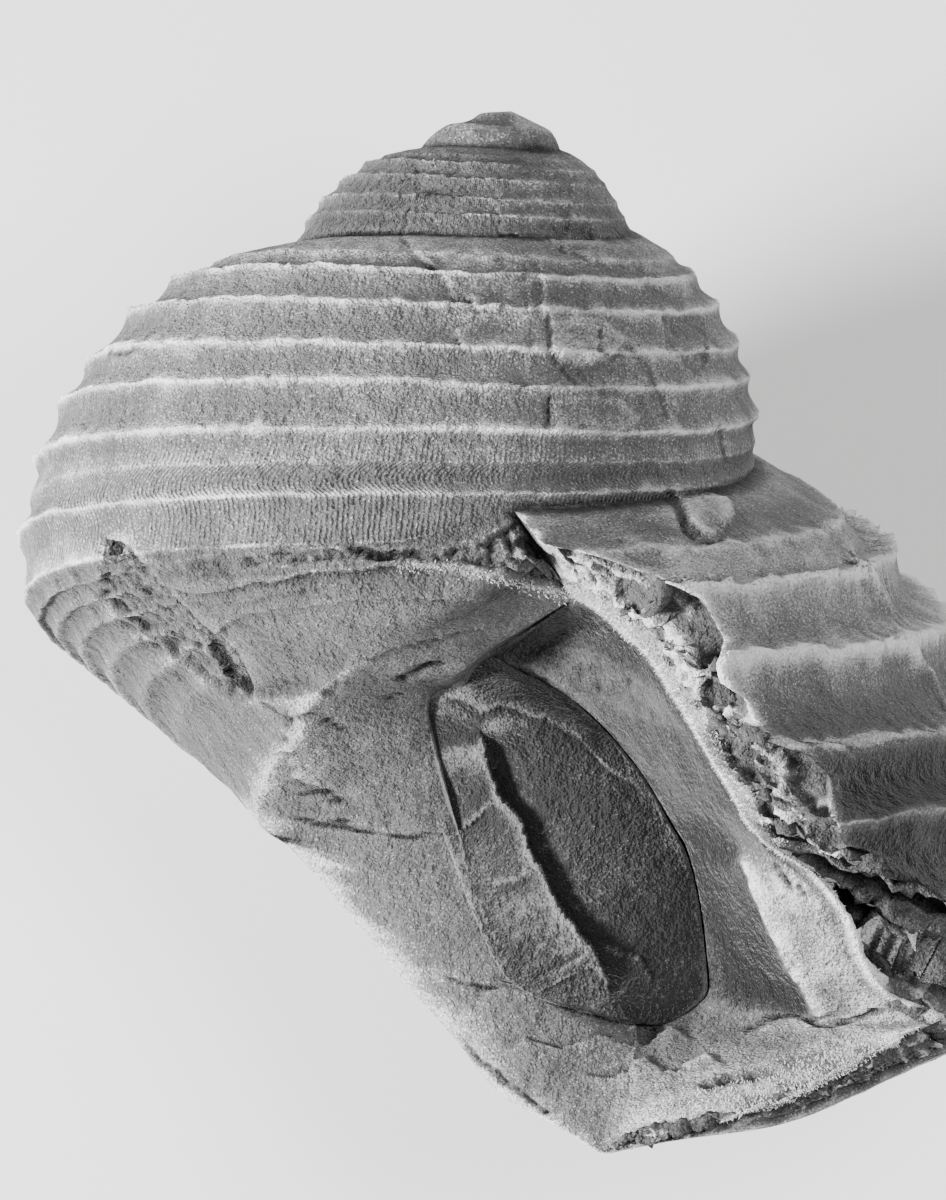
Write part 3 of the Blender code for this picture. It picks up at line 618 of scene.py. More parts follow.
def shell_skin():
    """The closed skin of the shell, in the shell frame."""
    skin = Skin()
    # Each early band: its columns along the spiral, one turn in all, and its rows down the whorl.
    bands = (
        (spread((FIRST_TURN, -1.5556, 70)), 12),
        (spread((-1.5556, 0.4444, 170)), 30),
        (spread((0.4444, 1.0, 170), (1.0, 2.0, 110), (2.0, CUT_TURN, 150)), 110),
    )
    early = []
    for columns, rows in bands:
        share = np.linspace(0.0, 1.0, rows)
        height = share[None, :] * cut_height(columns)[:, None]
        points = whorl(columns[:, None], height)
        numbers = skin.add(points, columns[:, None], cord_place(columns[:, None], height), ZONE_OUTSIDE)
        skin.grid(numbers)
        early.append((columns, share, numbers))

    # The last band: its rows are closer together on the shelf below the seam, and the base and the folded
    # inner lip follow in the same columns.
    heights = np.append(spread((0.0, 0.04, 8), (0.04, 0.17, 46), (0.17, 1.0, 146)), 1.0)
    over = np.linspace(0.0, 1.0, 71)[1:]
    fold = 1.0 + np.linspace(0.0, 1.0, 17)[1:]
    shares = np.concatenate([over, fold])
    columns = np.append(spread((CUT_TURN, 3.05, 210), (3.05, 3.9, 130), (3.9, LIP_TURN, 240)), LIP_TURN)
    points, turn, height = last_turn(heights, shares, columns)
    rows_above = len(heights)
    zone = np.full(height.shape, float(ZONE_OUTSIDE))
    zone[:, rows_above:] = ZONE_BASE
    zone[:, rows_above + len(over):] = ZONE_FOLD
    late = skin.add(points, turn, height, zone)
    late[-1, 0] = late[0, rows_above - 1]
    skin.grid(late)

    for (columns_a, share_a, a), (columns_b, share_b, b) in zip(early[:-1], early[1:]):
        skin.zip(a[:, -1], columns_a, b[:, 0], columns_b - 2.0)
        skin.zip(a[-1, :], share_a, b[0, :], share_b)
    columns_a, share_a, a = early[-1]
    skin.zip(a[:, -1], columns_a, late[:, 0], columns - 2.0)
    skin.zip(a[-1, :], share_a, late[0, :rows_above], heights)
    corners = [(early[0][2], early[1][2], early[2][2]), (early[1][2], early[2][2], late)]
    for a, b, c in corners:
        ring = (b[-1, 0], c[0, 0], b[0, -1], a[-1, -1])
        skin.faces.append(np.array([(ring[0], ring[1], ring[2]), (ring[0], ring[2], ring[3])]))
    first, second = early[0][2], early[1][2]
    crown = np.concatenate([first[:, 0], second[:1, 0], first[0, :0:-1]])
    tip = skin.add(np.array([APEX]), FIRST_TURN, 0.0, ZONE_OUTSIDE)[0]
    skin.fan(crown[::-1], tip)

    mouth(skin, late, columns, heights, len(over), points)
    return skin


def mouth(skin, late, columns, heights, over_rows, points):
    """The broken section of the lip, the inner wall and the pocket, in rings from the rim inwards."""
    rows_above = len(heights)
    fold_rows = late.shape[1] - rows_above - over_rows
    lip = late[-1, :]
    margin = late[:-1, -1][::-1]
    start = late[0, rows_above - 1:-1][::-1][:-1]
    loop = np.concatenate([lip, margin, start])
    above = np.interp(heights * CUT_HEIGHT, LIP_ROWS, np.linspace(0.0, SECTION_SHARE, len(LIP_ROWS)))
    over_base = BASE_PARTS * np.arange(1, over_rows + 1) / over_rows
    over_fold = BASE_PARTS + (RIM_PARTS - BASE_PARTS) * np.arange(1, fold_rows + 1) / fold_rows
    below = SECTION_SHARE + (1.0 - SECTION_SHARE) * np.concatenate([over_base, over_fold]) / RIM_PARTS
    right = np.concatenate([above, below])
    back = (LIP_TURN - columns[:-1][::-1]) / 2.0 * (FOLD_PARTS / LEFT_PARTS)
    ends = np.arange(1, len(start) + 1) / (len(start) + 1)
    left = np.concatenate([back, (FOLD_PARTS + (LEFT_PARTS - FOLD_PARTS) * ends) / LEFT_PARTS])
    all_points = points.reshape(-1, 3)
    rim = all_points[loop - late[0, 0]]
    border = from_photo(np.concatenate([smooth(right, PLUG_BORDER_RIGHT), smooth(left, PLUG_BORDER_LEFT)]))
    left_rim, left_border = rim[len(lip):], border[len(lip):]
    # Near the corner under the parietal wall, the left rings draw back from the plug and up.
    undercut = 0.12 * (ramp(left, 0.58, 0.68)[:, None] * np.array((-1.0, -1.0, 2.5)))
    inner = np.concatenate([from_photo(smooth(right, LIP_INNER)),
                            left_rim + (left_border - left_rim) * (0.2 + undercut)])
    ridge = np.concatenate([from_photo(smooth(right, WALL_RIDGE)),
                            left_rim + (left_border - left_rim) * (0.6 + undercut)])
    for ring in (inner, ridge):
        ring[-len(start):] = ring[-len(start) - 1] + (ring[0] - ring[-len(start) - 1]) * ends[:, None]
    floor_drop = np.array((0.0, 0.0, POCKET_DEPTH))
    centre = np.mean(border, axis=0)
    wall = centre + (border - centre) * 0.97 - floor_drop
    floor = centre + (border - centre) * 0.4 - floor_drop * 1.2

    # Rings from the rim inwards: the broken section, the inner wall below the lip's overhang, the pocket.
    around_mouth = np.concatenate([right, 1.0 + left])
    levels = [(rim + (inner - rim) * t, ZONE_BROKEN, t) for t in np.linspace(0.0, 1.0, 23)[1:]]
    hung = ramp(around_mouth, 0.0, 0.04) * (1.0 - 0.7 * ramp(around_mouth, 0.38, 0.46))
    hung = (hung * (1.0 - ramp(around_mouth, 0.55, 0.62)))[:, None] * np.array((0.0, 0.0, LIP_OVERHANG))
    for t in np.linspace(0.0, 1.0, 31)[1:]:
        under = hung * float(ramp(t, 0.0, 0.10) * (1.0 - t))
        levels.append((bowed(inner, ridge, border, t) - under, ZONE_INSIDE, 1 + 2 * t))
    for t in (0.34, 0.67, 1.0):
        levels.append((border + (wall - border) * t, ZONE_POCKET, 3 + t))
    levels.append((floor, ZONE_POCKET, 5))
    outer = loop
    for ring, zone, depth in levels:
        numbers = skin.add(ring, around_mouth, -1.0 - depth, zone)
        skin.grid(np.stack([np.append(outer, outer[0]), np.append(numbers, numbers[0])]))
        outer = numbers
    middle = skin.add(np.mean(floor, axis=0)[None, :], 0.0, -7.0, ZONE_POCKET)[0]
    skin.fan(outer, middle)


def bowed(start, middle, end, t):
    """A curve from start through middle, at t 0.5, to end."""
    near, far = 2 * (t - 0.5) * (t - 1), 2 * t * (t - 0.5)
    return start * near + middle * (4 * t * (1 - t)) + end * far


def face_normals(points, faces):
    """The faces' normals, each as long as twice the face's area."""
    a, b, c = points[faces[:, 0]], points[faces[:, 1]], points[faces[:, 2]]
    return np.cross(b - a, c - a)


def point_normals(points, faces):
    """Unit normals at the points."""
    made = face_normals(points, faces)
    total = np.zeros_like(points)
    for corner in range(3):
        for axis in range(3):
            total[:, axis] += np.bincount(faces[:, corner], made[:, axis], minlength=len(points))
    return total / np.maximum(np.linalg.norm(total, axis=1), 1e-12)[:, None]


def neighbour_mean(values, edges, rounds):
    """Values evened out over each point's neighbours, so many times."""
    both = np.concatenate([edges, edges[:, ::-1]])
    many = np.maximum(np.bincount(both[:, 0], minlength=len(values)), 1)
    values = values.astype(float)
    for _ in range(rounds):
        total = np.stack([np.bincount(both[:, 0], values[both[:, 1], k], minlength=len(values))
                          for k in range(values.shape[1])], axis=1)
        values = 0.5 * values + 0.5 * total / many[:, None]
    return values


# Nodes

def node(tree, kind, links=None, **settings):
    """Adds a node with its settings; links maps its inputs to nodes, sockets or plain values."""
    made = tree.nodes.new(kind)
    for name, value in settings.items():
        setattr(made, name, value)
    for key, value in (links or {}).items():
        if isinstance(value, bpy.types.Node):
            value = value.outputs[0]
        if isinstance(value, bpy.types.NodeSocket):
            tree.links.new(value, made.inputs[key])
        else:
            made.inputs[key].default_value = value
    return made


def linear(code):
    """Linear red, green, blue and alpha of an sRGB hex value."""
    parts = [int(code[i:i + 2], 16) / 255 for i in (1, 3, 5)]
    return (*[p / 12.92 if p <= 0.04045 else ((p + 0.055) / 1.055) ** 2.4 for p in parts], 1.0)


def mesh_object(name, points, faces, attributes):
    """A mesh object with float attributes on its points."""
    mesh = bpy.data.meshes.new(name)
    mesh.vertices.add(len(points))
    mesh.vertices.foreach_set("co", np.asarray(points, dtype=np.float32).ravel())
    mesh.loops.add(len(faces) * 3)
    mesh.loops.foreach_set("vertex_index", np.asarray(faces, dtype=np.int32).ravel())
    mesh.polygons.add(len(faces))
    mesh.polygons.foreach_set("loop_start", np.arange(0, len(faces) * 3, 3, dtype=np.int32))
    for label, values in attributes.items():
        made = mesh.attributes.new(label, "FLOAT", "POINT")
        made.data.foreach_set("value", np.asarray(values, dtype=np.float32))
    mesh.update(calc_edges=True)
    mesh.validate()
    thing = bpy.data.objects.new(name, mesh)
    bpy.context.scene.collection.objects.link(thing)
    return thing


def set_input(modifier, label, value):
    """Sets a Geometry Nodes input by the identifier behind its label."""
    for item in modifier.node_group.interface.items_tree:
        if item.item_type == "SOCKET" and item.in_out == "INPUT" and item.name == label:
            modifier[item.identifier] = value
            return
    raise KeyError(label)


def baked(thing, name):
    """A plain mesh object from the evaluated one, which is removed."""
    graph = bpy.context.evaluated_depsgraph_get()
    mesh = bpy.data.meshes.new_from_object(thing.evaluated_get(graph))
    mesh.name = name
    made = bpy.data.objects.new(name, mesh)
    bpy.context.scene.collection.objects.link(made)
    bpy.data.objects.remove(thing, do_unlink=True)
    return made


def weathering_tree():
    """Raises grains, lumps and broken rubble on a skin and sinks pits, along its normals; sizes in metres."""
    tree = bpy.data.node_groups.new("weathered_surface", "GeometryNodeTree")
    face = tree.interface
    face.new_socket("Geometry", in_out="INPUT", socket_type="NodeSocketGeometry")
    for label, value in (("Grain height", 0.000010), ("Grain size", 0.00014), ("Lump height", 0.00006),
                         ("Lump size", 0.0009), ("Rubble height", 0.00022), ("Rubble size", 0.0003),
                         ("Pit height", 0.00008), ("Pit size", 0.00035)):
        face.new_socket(label, in_out="INPUT", socket_type="NodeSocketFloat").default_value = value
    face.new_socket("Material", in_out="INPUT", socket_type="NodeSocketMaterial")
    face.new_socket("Geometry", in_out="OUTPUT", socket_type="NodeSocketGeometry")
    start = node(tree, "NodeGroupInput")
    place = node(tree, "GeometryNodeInputPosition")
    made = {}
    for label in ("broken", "worn"):
        made[label] = node(tree, "GeometryNodeInputNamedAttribute", {"Name": label}, data_type="FLOAT")
    for label, kind, detail, rough in (("Grain", "ShaderNodeTexNoise", 3.0, 0.7),
                                       ("Lump", "ShaderNodeTexNoise", 4.0, 0.6),
                                       ("Rubble", "ShaderNodeTexVoronoi", 2.0, 0.6),
                                       ("Pit", "ShaderNodeTexNoise", 2.0, 0.6)):
        scale = node(tree, "ShaderNodeMath", {0: 1.0, 1: start.outputs[label + " size"]}, operation="DIVIDE")
        made[label] = node(tree, kind, {"Vector": place, "Scale": scale, "Detail": detail,
                                        "Roughness": rough})
        made[label + " height"] = start.outputs[label + " height"]

    # Each step works out a value from two others, which are numbers or values made before it.
    for label, operation, first, second in (
            ("Grain", "SUBTRACT", "Grain", 0.5), ("Grain", "MULTIPLY", "Grain", "Grain height"),
            ("coarser", "MULTIPLY", "worn", 2.0), ("coarser", "ADD", 1.0, "coarser"),
            ("Grain", "MULTIPLY", "Grain", "coarser"),
            ("Lump", "SUBTRACT", "Lump", 0.5), ("Lump", "MULTIPLY", "Lump", "Lump height"),
            ("crumbled", "MULTIPLY", "worn", 2.0), ("crumbled", "SUBTRACT", "crumbled", 0.9),
            ("crumbled", "MAXIMUM", "broken", "crumbled"),
            ("Rubble", "SUBTRACT", "Rubble", 0.45), ("Rubble", "MULTIPLY", "Rubble", "Rubble height"),
            ("Rubble", "MULTIPLY", "Rubble", "crumbled"),
            ("Pit", "SUBTRACT", "Pit", 0.5), ("Pit", "ADD", "Pit", 0.02), ("Pit", "MINIMUM", "Pit", 0.0),
            ("Pit", "MULTIPLY", "Pit", "Pit height"), ("pitted", "MULTIPLY", "worn", 4.0),
            ("Pit", "MULTIPLY", "Pit", "pitted"),
            ("rise", "ADD", "Grain", "Lump"), ("drop", "SUBTRACT", "Pit", "Rubble"),
            ("rise", "ADD", "rise", "drop")):
        values = {0: made.get(first, first), 1: made.get(second, second)}
        made[label] = node(tree, "ShaderNodeMath", values, operation=operation)
    normal = node(tree, "GeometryNodeInputNormal")
    offset = node(tree, "ShaderNodeVectorMath", {0: normal, "Scale": made["rise"]}, operation="SCALE")
    moved = node(tree, "GeometryNodeSetPosition", {"Geometry": start.outputs["Geometry"], "Offset": offset})
    solid = node(tree, "GeometryNodeRealizeInstances", {0: moved})
    coated = node(tree, "GeometryNodeSetMaterial", {0: solid, "Material": start.outputs["Material"]})
    node(tree, "NodeGroupOutput", {0: coated})
    return tree


# The shell

def make_shell(material, weathering):
    """The shell's skin with its damage, grain and edges, thinned if it has more triangles than a piece keeps.
    """
    points, faces, turn, height, zone = shell_skin().arrays()
    normals = point_normals(points, faces)
    if np.einsum("ij,ij->i", face_normals(points, faces), points[faces[:, 0]]).sum() < 0:
        normals = -normals
    facing = normals[:, 2] * (zone != ZONE_POCKET)
    rise, wear, crack_shade_and_patch_tone = damage(points, facing, CRACKS, LEDGES, RIDGES, PATCHES)
    wear = np.maximum(wear, np.where(zone == ZONE_OUTSIDE, 0.12, 0.08))

    depth = np.clip(-1.0 - height, 0.0, 1.0)
    on_lip = (zone == ZONE_BROKEN) * ramp(turn, 0.0, 0.02) * (1.0 - ramp(turn, 0.96, 1.0))
    broken = np.sin(np.pi * depth) ** 0.5 * on_lip
    lining = (zone == ZONE_INSIDE) | (zone == ZONE_BROKEN)
    left_side = lining * ramp(turn, 0.86, 0.92) * (1.0 - ramp(turn, 1.55, 1.65))
    fold = (zone == ZONE_FOLD) * ramp(turn, 2.8, 3.0)
    points = evened(points, faces, left_side + fold, 90)
    points = points + normals * (rise + layers(turn, height, broken))[:, None]
    # The crack mark and the regional shade mark are painted shade and painted light for the stone's colour.
    attributes = {"turn": turn, "place": height, "zone": zone, "broken": broken, "worn": wear,
                  "crack": crack_shade_and_patch_tone, "fringe": fibrous_edge(points, normals[:, 2], turn, height, zone),
                  "size": np.where(zone < ZONE_BROKEN, growth(turn), 3.0),
                  "shade": shade(turn, height, zone)}
    resting = settled(points)
    resting[:, 2] = np.maximum(resting[:, 2], FLOOR_GAP * MM)
    raw = mesh_object("shell_raw", resting, faces, attributes)
    return finished(raw, "shell_skin", material, weathering)


def fibrous_edge(points, facing, turn, height, zone):
    """Where the white fibrous edge runs: along the broken lip, the basal edge and the parietal wall."""
    in_mouth = (turn < 1.0) * (height < -1.0)
    depth = np.clip(-1.0 - height, 0.0, 3.0)
    lip = np.exp(-((depth - 0.94) / 0.07) ** 2) * in_mouth
    lip *= 1.0 - 0.8 * ramp(turn, 0.40, 0.46) * (1.0 - ramp(turn, 0.66, 0.72))
    basal = ramp(turn, 0.66, 0.74) * (1.0 - ramp(turn, 0.96, 1.0)) * (height < -1.88) * in_mouth
    basal = 0.45 * basal * (1.0 - ramp(-height, 2.25, 2.60))
    away = nearest(to_photo(points)[:, :2], FRINGE_LINE)[0]
    parietal = 0.6 * np.exp(-(away / 4.5) ** 2) * (facing > 0.1) * (zone < ZONE_BROKEN)
    return np.maximum(np.maximum(lip, basal), parietal)


def shade(turn, height, zone):
    """Painted shade and light by region: how much darker the stone is painted than the middle of the last
    whorl.
    """
    # Painted shade on the spire and the slit band, and painted shade and light on the last whorl towards the
    # lip.
    spire = 2.1 * (1.0 - ramp(turn, 0.9, 1.4)) + 0.8 * (1.0 - ramp(turn, -1.8, -1.2))
    slit_band = ramp(height, 1.55, 1.70) * ramp(turn, 1.9, 2.2) * (1.0 - ramp(turn, 2.5, 2.8))
    near_lip = (4.3 * ramp(height, 0.45, 1.05) - 1.2 * ramp(height, 0.12, 0.22)) * ramp(turn, 3.6, 4.0)
    outside = (spire + slit_band + near_lip) * (zone == ZONE_OUTSIDE)
    # Painted shade on the base and the folded lip.
    folds = (1.7 - 0.2 * ramp(turn, 2.75, 3.0)) * (1.0 - ramp(turn, 3.8, 4.25))
    folds = folds * ((zone == ZONE_BASE) | (zone == ZONE_FOLD))

    # In the mouth, turn counts round its rings: 0 to 1 down the right side and 1 to 2 back up the left.
    # Painted shade on the inner wall, deepest in its trough, with a little painted light on the bevel below
    # the lip.
    low = ramp(turn, 0.30, 0.42)
    trough = ramp(-height, 2.9, 3.15)
    low_wall = (3.6 * trough - 0.3 * (1.0 - trough)) * (1.0 - 0.7 * ramp(turn, 0.58, 0.72))
    right_wall = 2.4 * (1.0 - low) + low * low_wall
    wall = np.where(turn < 1.0, right_wall, 1.5 * ramp(turn, 1.0, 1.3))
    wall = wall * ((zone >= ZONE_INSIDE) | ((zone == ZONE_BROKEN) & (turn >= 1.0)))
    return outside + folds + wall


def evened(points, faces, mask, rounds):
    """Points drawn towards their neighbours' mean where the mask is 1."""
    edges = np.concatenate([faces[:, :2], faces[:, 1:], faces[:, ::2]])
    who = np.zeros(len(points), dtype=bool)
    who[edges[mask[edges].max(axis=1) > 0].ravel()] = True
    number = np.cumsum(who) - 1
    edges = number[edges[who[edges].all(axis=1)]]
    both = np.concatenate([edges, edges[:, ::-1]])
    many = np.maximum(np.bincount(both[:, 0], minlength=who.sum()), 1)
    part, weight = points[who], mask[who][:, None]
    for _ in range(rounds):
        total = np.stack([np.bincount(both[:, 0], part[both[:, 1], k], minlength=len(part))
                          for k in range(3)], axis=1)
        part = part + 0.6 * weight * (total / many[:, None] - part)
    points = points.copy()
    points[who] = part
    return points


def layers(around_mouth, height, broken):
    """Rise of the broken section in mm: layers that run along the lip, over a hollow under its outer edge."""
    across = -height * 5.0 + 0.8 * waves(around_mouth * 30, height * 2, 31)
    step = np.floor(across) + ramp(across % 1.0, 0.0, 0.25)
    stepped = 0.22 * waves(np.round(step) * 2.7, around_mouth * 26, 32, octaves=3) * broken
    ragged = 0.12 * waves(around_mouth * 150, height * 9, 33, octaves=3) * broken
    hollow = ramp(-height, 1.03, 1.10) * (1.0 - ramp(-height, 1.22, 1.40)) * (around_mouth < 0.5)
    hollow = hollow * (0.55 + 0.45 * waves(around_mouth * 90, height * 3, 34, octaves=2))
    return stepped + ragged - (0.08 + 0.5 * hollow) * broken


def finished(raw, name, material, weathering):
    """The weathered piece as a plain mesh with its edge marks and material."""
    work = bmesh.new()
    work.from_mesh(raw.data)
    bmesh.ops.dissolve_degenerate(work, edges=work.edges, dist=0.0000005)
    bmesh.ops.triangulate(work, faces=work.faces)
    bmesh.ops.delete(work, geom=[v for v in work.verts if not v.link_faces], context="VERTS")
    bmesh.ops.recalc_face_normals(work, faces=work.faces)
    work.to_mesh(raw.data)
    work.free()
    modifier = raw.modifiers.new("weathering", "NODES")
    modifier.node_group = weathering
    set_input(modifier, "Material", material)
    if len(raw.data.polygons) > MOST_TRIANGLES:
        thin = raw.modifiers.new("thinned", "DECIMATE")
        thin.ratio = MOST_TRIANGLES / len(raw.data.polygons)
    piece = baked(raw, name)
    mark_edges(piece)
    piece.data.shade_smooth()
    return piece


def mark_edges(thing):
    """Adds how far each point stands out from its surroundings, near and wide, as attributes, from which the
    stone paints highlights on what stands out and shade in hollows.
    """
    mesh = thing.data
    points = np.empty(len(mesh.vertices) * 3, dtype=np.float32)
    mesh.vertices.foreach_get("co", points)
    points = points.reshape(-1, 3).astype(float) / MM
    edges = np.empty(len(mesh.edges) * 2, dtype=np.int32)
    mesh.edges.foreach_get("vertices", edges)
    edges = edges.reshape(-1, 2)
    normals = np.empty(len(mesh.vertices) * 3, dtype=np.float32)
    mesh.vertices.foreach_get("normal", normals)
    normals = normals.reshape(-1, 3)
    for label, rounds in (("fine_edge", 4), ("broad_edge", 40)):
        mean = neighbour_mean(points, edges, rounds)
        value = np.einsum("ij,ij->i", points - mean, normals)
        value = neighbour_mean(value[:, None], edges, 1)[:, 0]
        value = np.clip(value / np.percentile(np.abs(value), 85), -2.0, 2.0)
        made = mesh.attributes.new(label, "FLOAT", "POINT")
        made.data.foreach_set("value", value.astype(np.float32))


def make_plug(material, weathering):
    """The plug of matrix: a lens with a sharp ridge, a groove beside it and a step round its top."""
    along = np.linspace(0.012, 0.988, PLUG_ROWS)
    left = from_photo(smooth(1.0 - along, PLUG_BORDER_LEFT))
    right = from_photo(smooth(along, PLUG_BORDER_RIGHT))
    across = np.linspace(0.0, 1.0, PLUG_COLUMNS)
    span = np.linalg.norm((right - left)[:, :2], axis=1)
    start = -np.minimum(PLUG_LAP / span, 0.2)[:, None]
    end = 1.0 - np.minimum(PLUG_GAP / span, 0.3)[:, None]
    share = (start + (end - start) * across[None, :])[..., None]
    top = left[:, None, :] * (1.0 - share) + right[:, None, :] * share
    edge = np.minimum(np.minimum(across, 1.0 - across)[None, :] * span[:, None],
                      np.minimum(along, 1.0 - along)[:, None] * 6.0)
    flat = top.reshape(-1, 3)
    rise, wear, crack_shade_and_patch_tone = damage(flat, np.ones(len(flat)), (), PLUG_LEDGES, PLUG_RIDGES, ())
    away, side, up_ridge = nearest(to_photo(flat)[:, :2], PLUG_LEDGES[0][2])
    # The raised facet beside the plug's ridge gets painted light.
    painted_light_side = ramp(-side * away, -2.0, 6.0) * (1.0 - ramp(up_ridge, 0.75, 1.0))
    dome = PLUG_SWELL * (1.0 - (1.0 - np.minimum(edge / 2.4, 1.0)) ** 2)
    swell = dome * ramp(across, -0.3, 0.5)[None, :]
    sunk_rim = 0.04 * (1.0 - ramp(edge, 0.0, 0.06)) * across[None, :]
    top[..., 2] += swell + rise.reshape(edge.shape) * ramp(edge, 0.0, 0.5) - sunk_rim
    centre = np.mean(top, axis=(0, 1))
    bottom = centre + (top - centre) * np.array((0.93, 0.93, 0.8))
    bottom[..., 2] = np.minimum(bottom[..., 2] - PLUG_THICKNESS, top[..., 2] - 0.2)
    coarse = bottom[::UNDERSIDE_STEP, ::UNDERSIDE_STEP]
    coarse = np.concatenate([coarse, bottom[-1:, ::UNDERSIDE_STEP]])

    skin = Skin()
    upper = skin.add(top, 0.0, -1.0, ZONE_OUTSIDE)
    under = skin.add(coarse, 0.0, -1.0, ZONE_POCKET)
    skin.grid(upper[:, ::-1])
    skin.grid(under)
    pick, places = closed_places(top)
    pick_under, places_under = closed_places(coarse)
    skin.zip(pick(upper), places, pick_under(under), places_under)
    points, faces, turn, height, zone = skin.arrays()
    plain = np.zeros(len(points))
    rest = np.zeros(len(points) - len(flat))
    attributes = {"turn": turn, "place": height, "zone": zone, "broken": plain, "fringe": plain,
                  "worn": np.concatenate([wear * 0.3, rest]) + 0.10, "size": plain + 3.0,
                  "crack": np.concatenate([crack_shade_and_patch_tone, rest]),
                  # Painted shade over the plug's top, lifted by painted light on the facet beside its ridge.
                  "shade": np.concatenate([0.4 - 0.5 * painted_light_side, rest])}
    raw = mesh_object("plug_raw", settled(points), faces, attributes)
    return finished(raw, "plug_skin", material, weathering)


def closed_places(array):
    """A picker of the closed border of a grid like this one, and the places along it from 0 to 4."""
    rows, columns = array.shape[:2]
    places = np.concatenate([np.arange(columns - 1) / (columns - 1), 1 + np.arange(rows - 1) / (rows - 1),
                             2 + np.arange(columns - 1) / (columns - 1), 3 + np.arange(rows - 1) / (rows - 1),
                             [4.0]])

    def pick(numbers):
        loop = np.concatenate([numbers[0, :-1], numbers[:-1, -1], numbers[-1, :0:-1], numbers[:0:-1, 0]])
        return np.append(loop, loop[0])
    return pick, places


# Materials

# Sizes of the tone changes in the crystals, in millimetres, and the depth of the stone's soft mottling.
CRYSTAL_TONE_MM = 0.0625
MOTTLE_DEPTH = 0.45


def pale_material():
    """The shell's prismatic layer, bare where the lip is broken."""
    # Upright crystals of calcite, too fine to see one by one, which make it dull and nearly white.
    material = bpy.data.materials.new("pale_prismatic_layer")
    material.use_nodes = True
    tree = material.node_tree
    tree.nodes.clear()
    spot = node(tree, "ShaderNodeTexCoord").outputs["Object"]
    grain = node(tree, "ShaderNodeTexNoise", {"Vector": spot, "Scale": 1000.0 / CRYSTAL_TONE_MM})
    colour = node(tree, "ShaderNodeValToRGB", {"Fac": grain})
    colour.color_ramp.elements[0].color = linear("#8C8C8C")
    colour.color_ramp.elements[1].color = linear("#F2F2F2")
    shader = node(tree, "ShaderNodeBsdfPrincipled", {"Base Color": colour, "Roughness": 0.8})
    node(tree, "ShaderNodeOutputMaterial", {0: shader})
    return material


def crystal_tree():
    """Stands short prisms on the faces where the fringe runs, each turned and sized by chance."""
    tree = bpy.data.node_groups.new("prismatic_fringe", "GeometryNodeTree")
    face = tree.interface
    face.new_socket("Geometry", in_out="INPUT", socket_type="NodeSocketGeometry")
    for label, value in (("Density", 2.4e9), ("Length", 0.000026), ("Width", 0.000012), ("Tilt", 0.6)):
        face.new_socket(label, in_out="INPUT", socket_type="NodeSocketFloat").default_value = value
    face.new_socket("Seed", in_out="INPUT", socket_type="NodeSocketInt").default_value = 5
    face.new_socket("Mask", in_out="INPUT", socket_type="NodeSocketString").default_value = "fringe"
    face.new_socket("Material", in_out="INPUT", socket_type="NodeSocketMaterial")
    face.new_socket("Geometry", in_out="OUTPUT", socket_type="NodeSocketGeometry")
    start = node(tree, "NodeGroupInput")
    given = start.outputs
    mask = node(tree, "GeometryNodeInputNamedAttribute", {"Name": given["Mask"]}, data_type="FLOAT")
    shown = node(tree, "ShaderNodeMath", {0: mask, 1: 3.0}, operation="POWER")
    dense = node(tree, "ShaderNodeMath", {0: shown, 1: given["Density"]}, operation="MULTIPLY")
    spots = node(tree, "GeometryNodeDistributePointsOnFaces", {
        "Mesh": given["Geometry"], "Density": dense, "Seed": given["Seed"]})
    prism = node(tree, "GeometryNodeMeshCone", {
        "Vertices": 5, "Radius Top": 0.3, "Radius Bottom": 1.0, "Depth": 2.0})
    lean = node(tree, "FunctionNodeRandomValue", {0: (-1, -1, -3), 1: (1, 1, 3), "Seed": given["Seed"]},
                data_type="FLOAT_VECTOR")
    tilt = node(tree, "ShaderNodeVectorMath", {0: lean, "Scale": given["Tilt"]}, operation="SCALE")
    turned = node(tree, "FunctionNodeRotateEuler", {0: spots.outputs["Rotation"], 1: tilt},
                  rotation_type="EULER", space="LOCAL")
    size = node(tree, "ShaderNodeCombineXYZ", {0: given["Width"], 1: given["Width"], 2: given["Length"]})
    chance = node(tree, "FunctionNodeRandomValue", {"Min": 0.5, "Max": 1.5, "Seed": given["Seed"]},
                  data_type="FLOAT")
    scale = node(tree, "ShaderNodeVectorMath", {0: size, "Scale": chance.outputs[1]}, operation="SCALE")
    stood = node(tree, "GeometryNodeInstanceOnPoints", {
        "Points": spots.outputs["Points"], "Instance": prism.outputs["Mesh"], "Rotation": turned,
        "Scale": scale})
    solid = node(tree, "GeometryNodeRealizeInstances", {0: stood})
    coated = node(tree, "GeometryNodeSetMaterial", {0: solid, "Material": given["Material"]})
    node(tree, "NodeGroupOutput", {0: coated})
    return tree


def make_crystals(shell, tree, material):
    """The crust of crystals, stood on the shell by the tree."""
    carrier = bpy.data.objects.new("fringe_carrier", shell.data)
    bpy.context.scene.collection.objects.link(carrier)
    modifier = carrier.modifiers.new("crystals", "NODES")
    modifier.node_group = tree
    set_input(modifier, "Material", material)
    return baked(carrier, "prismatic_fringe")


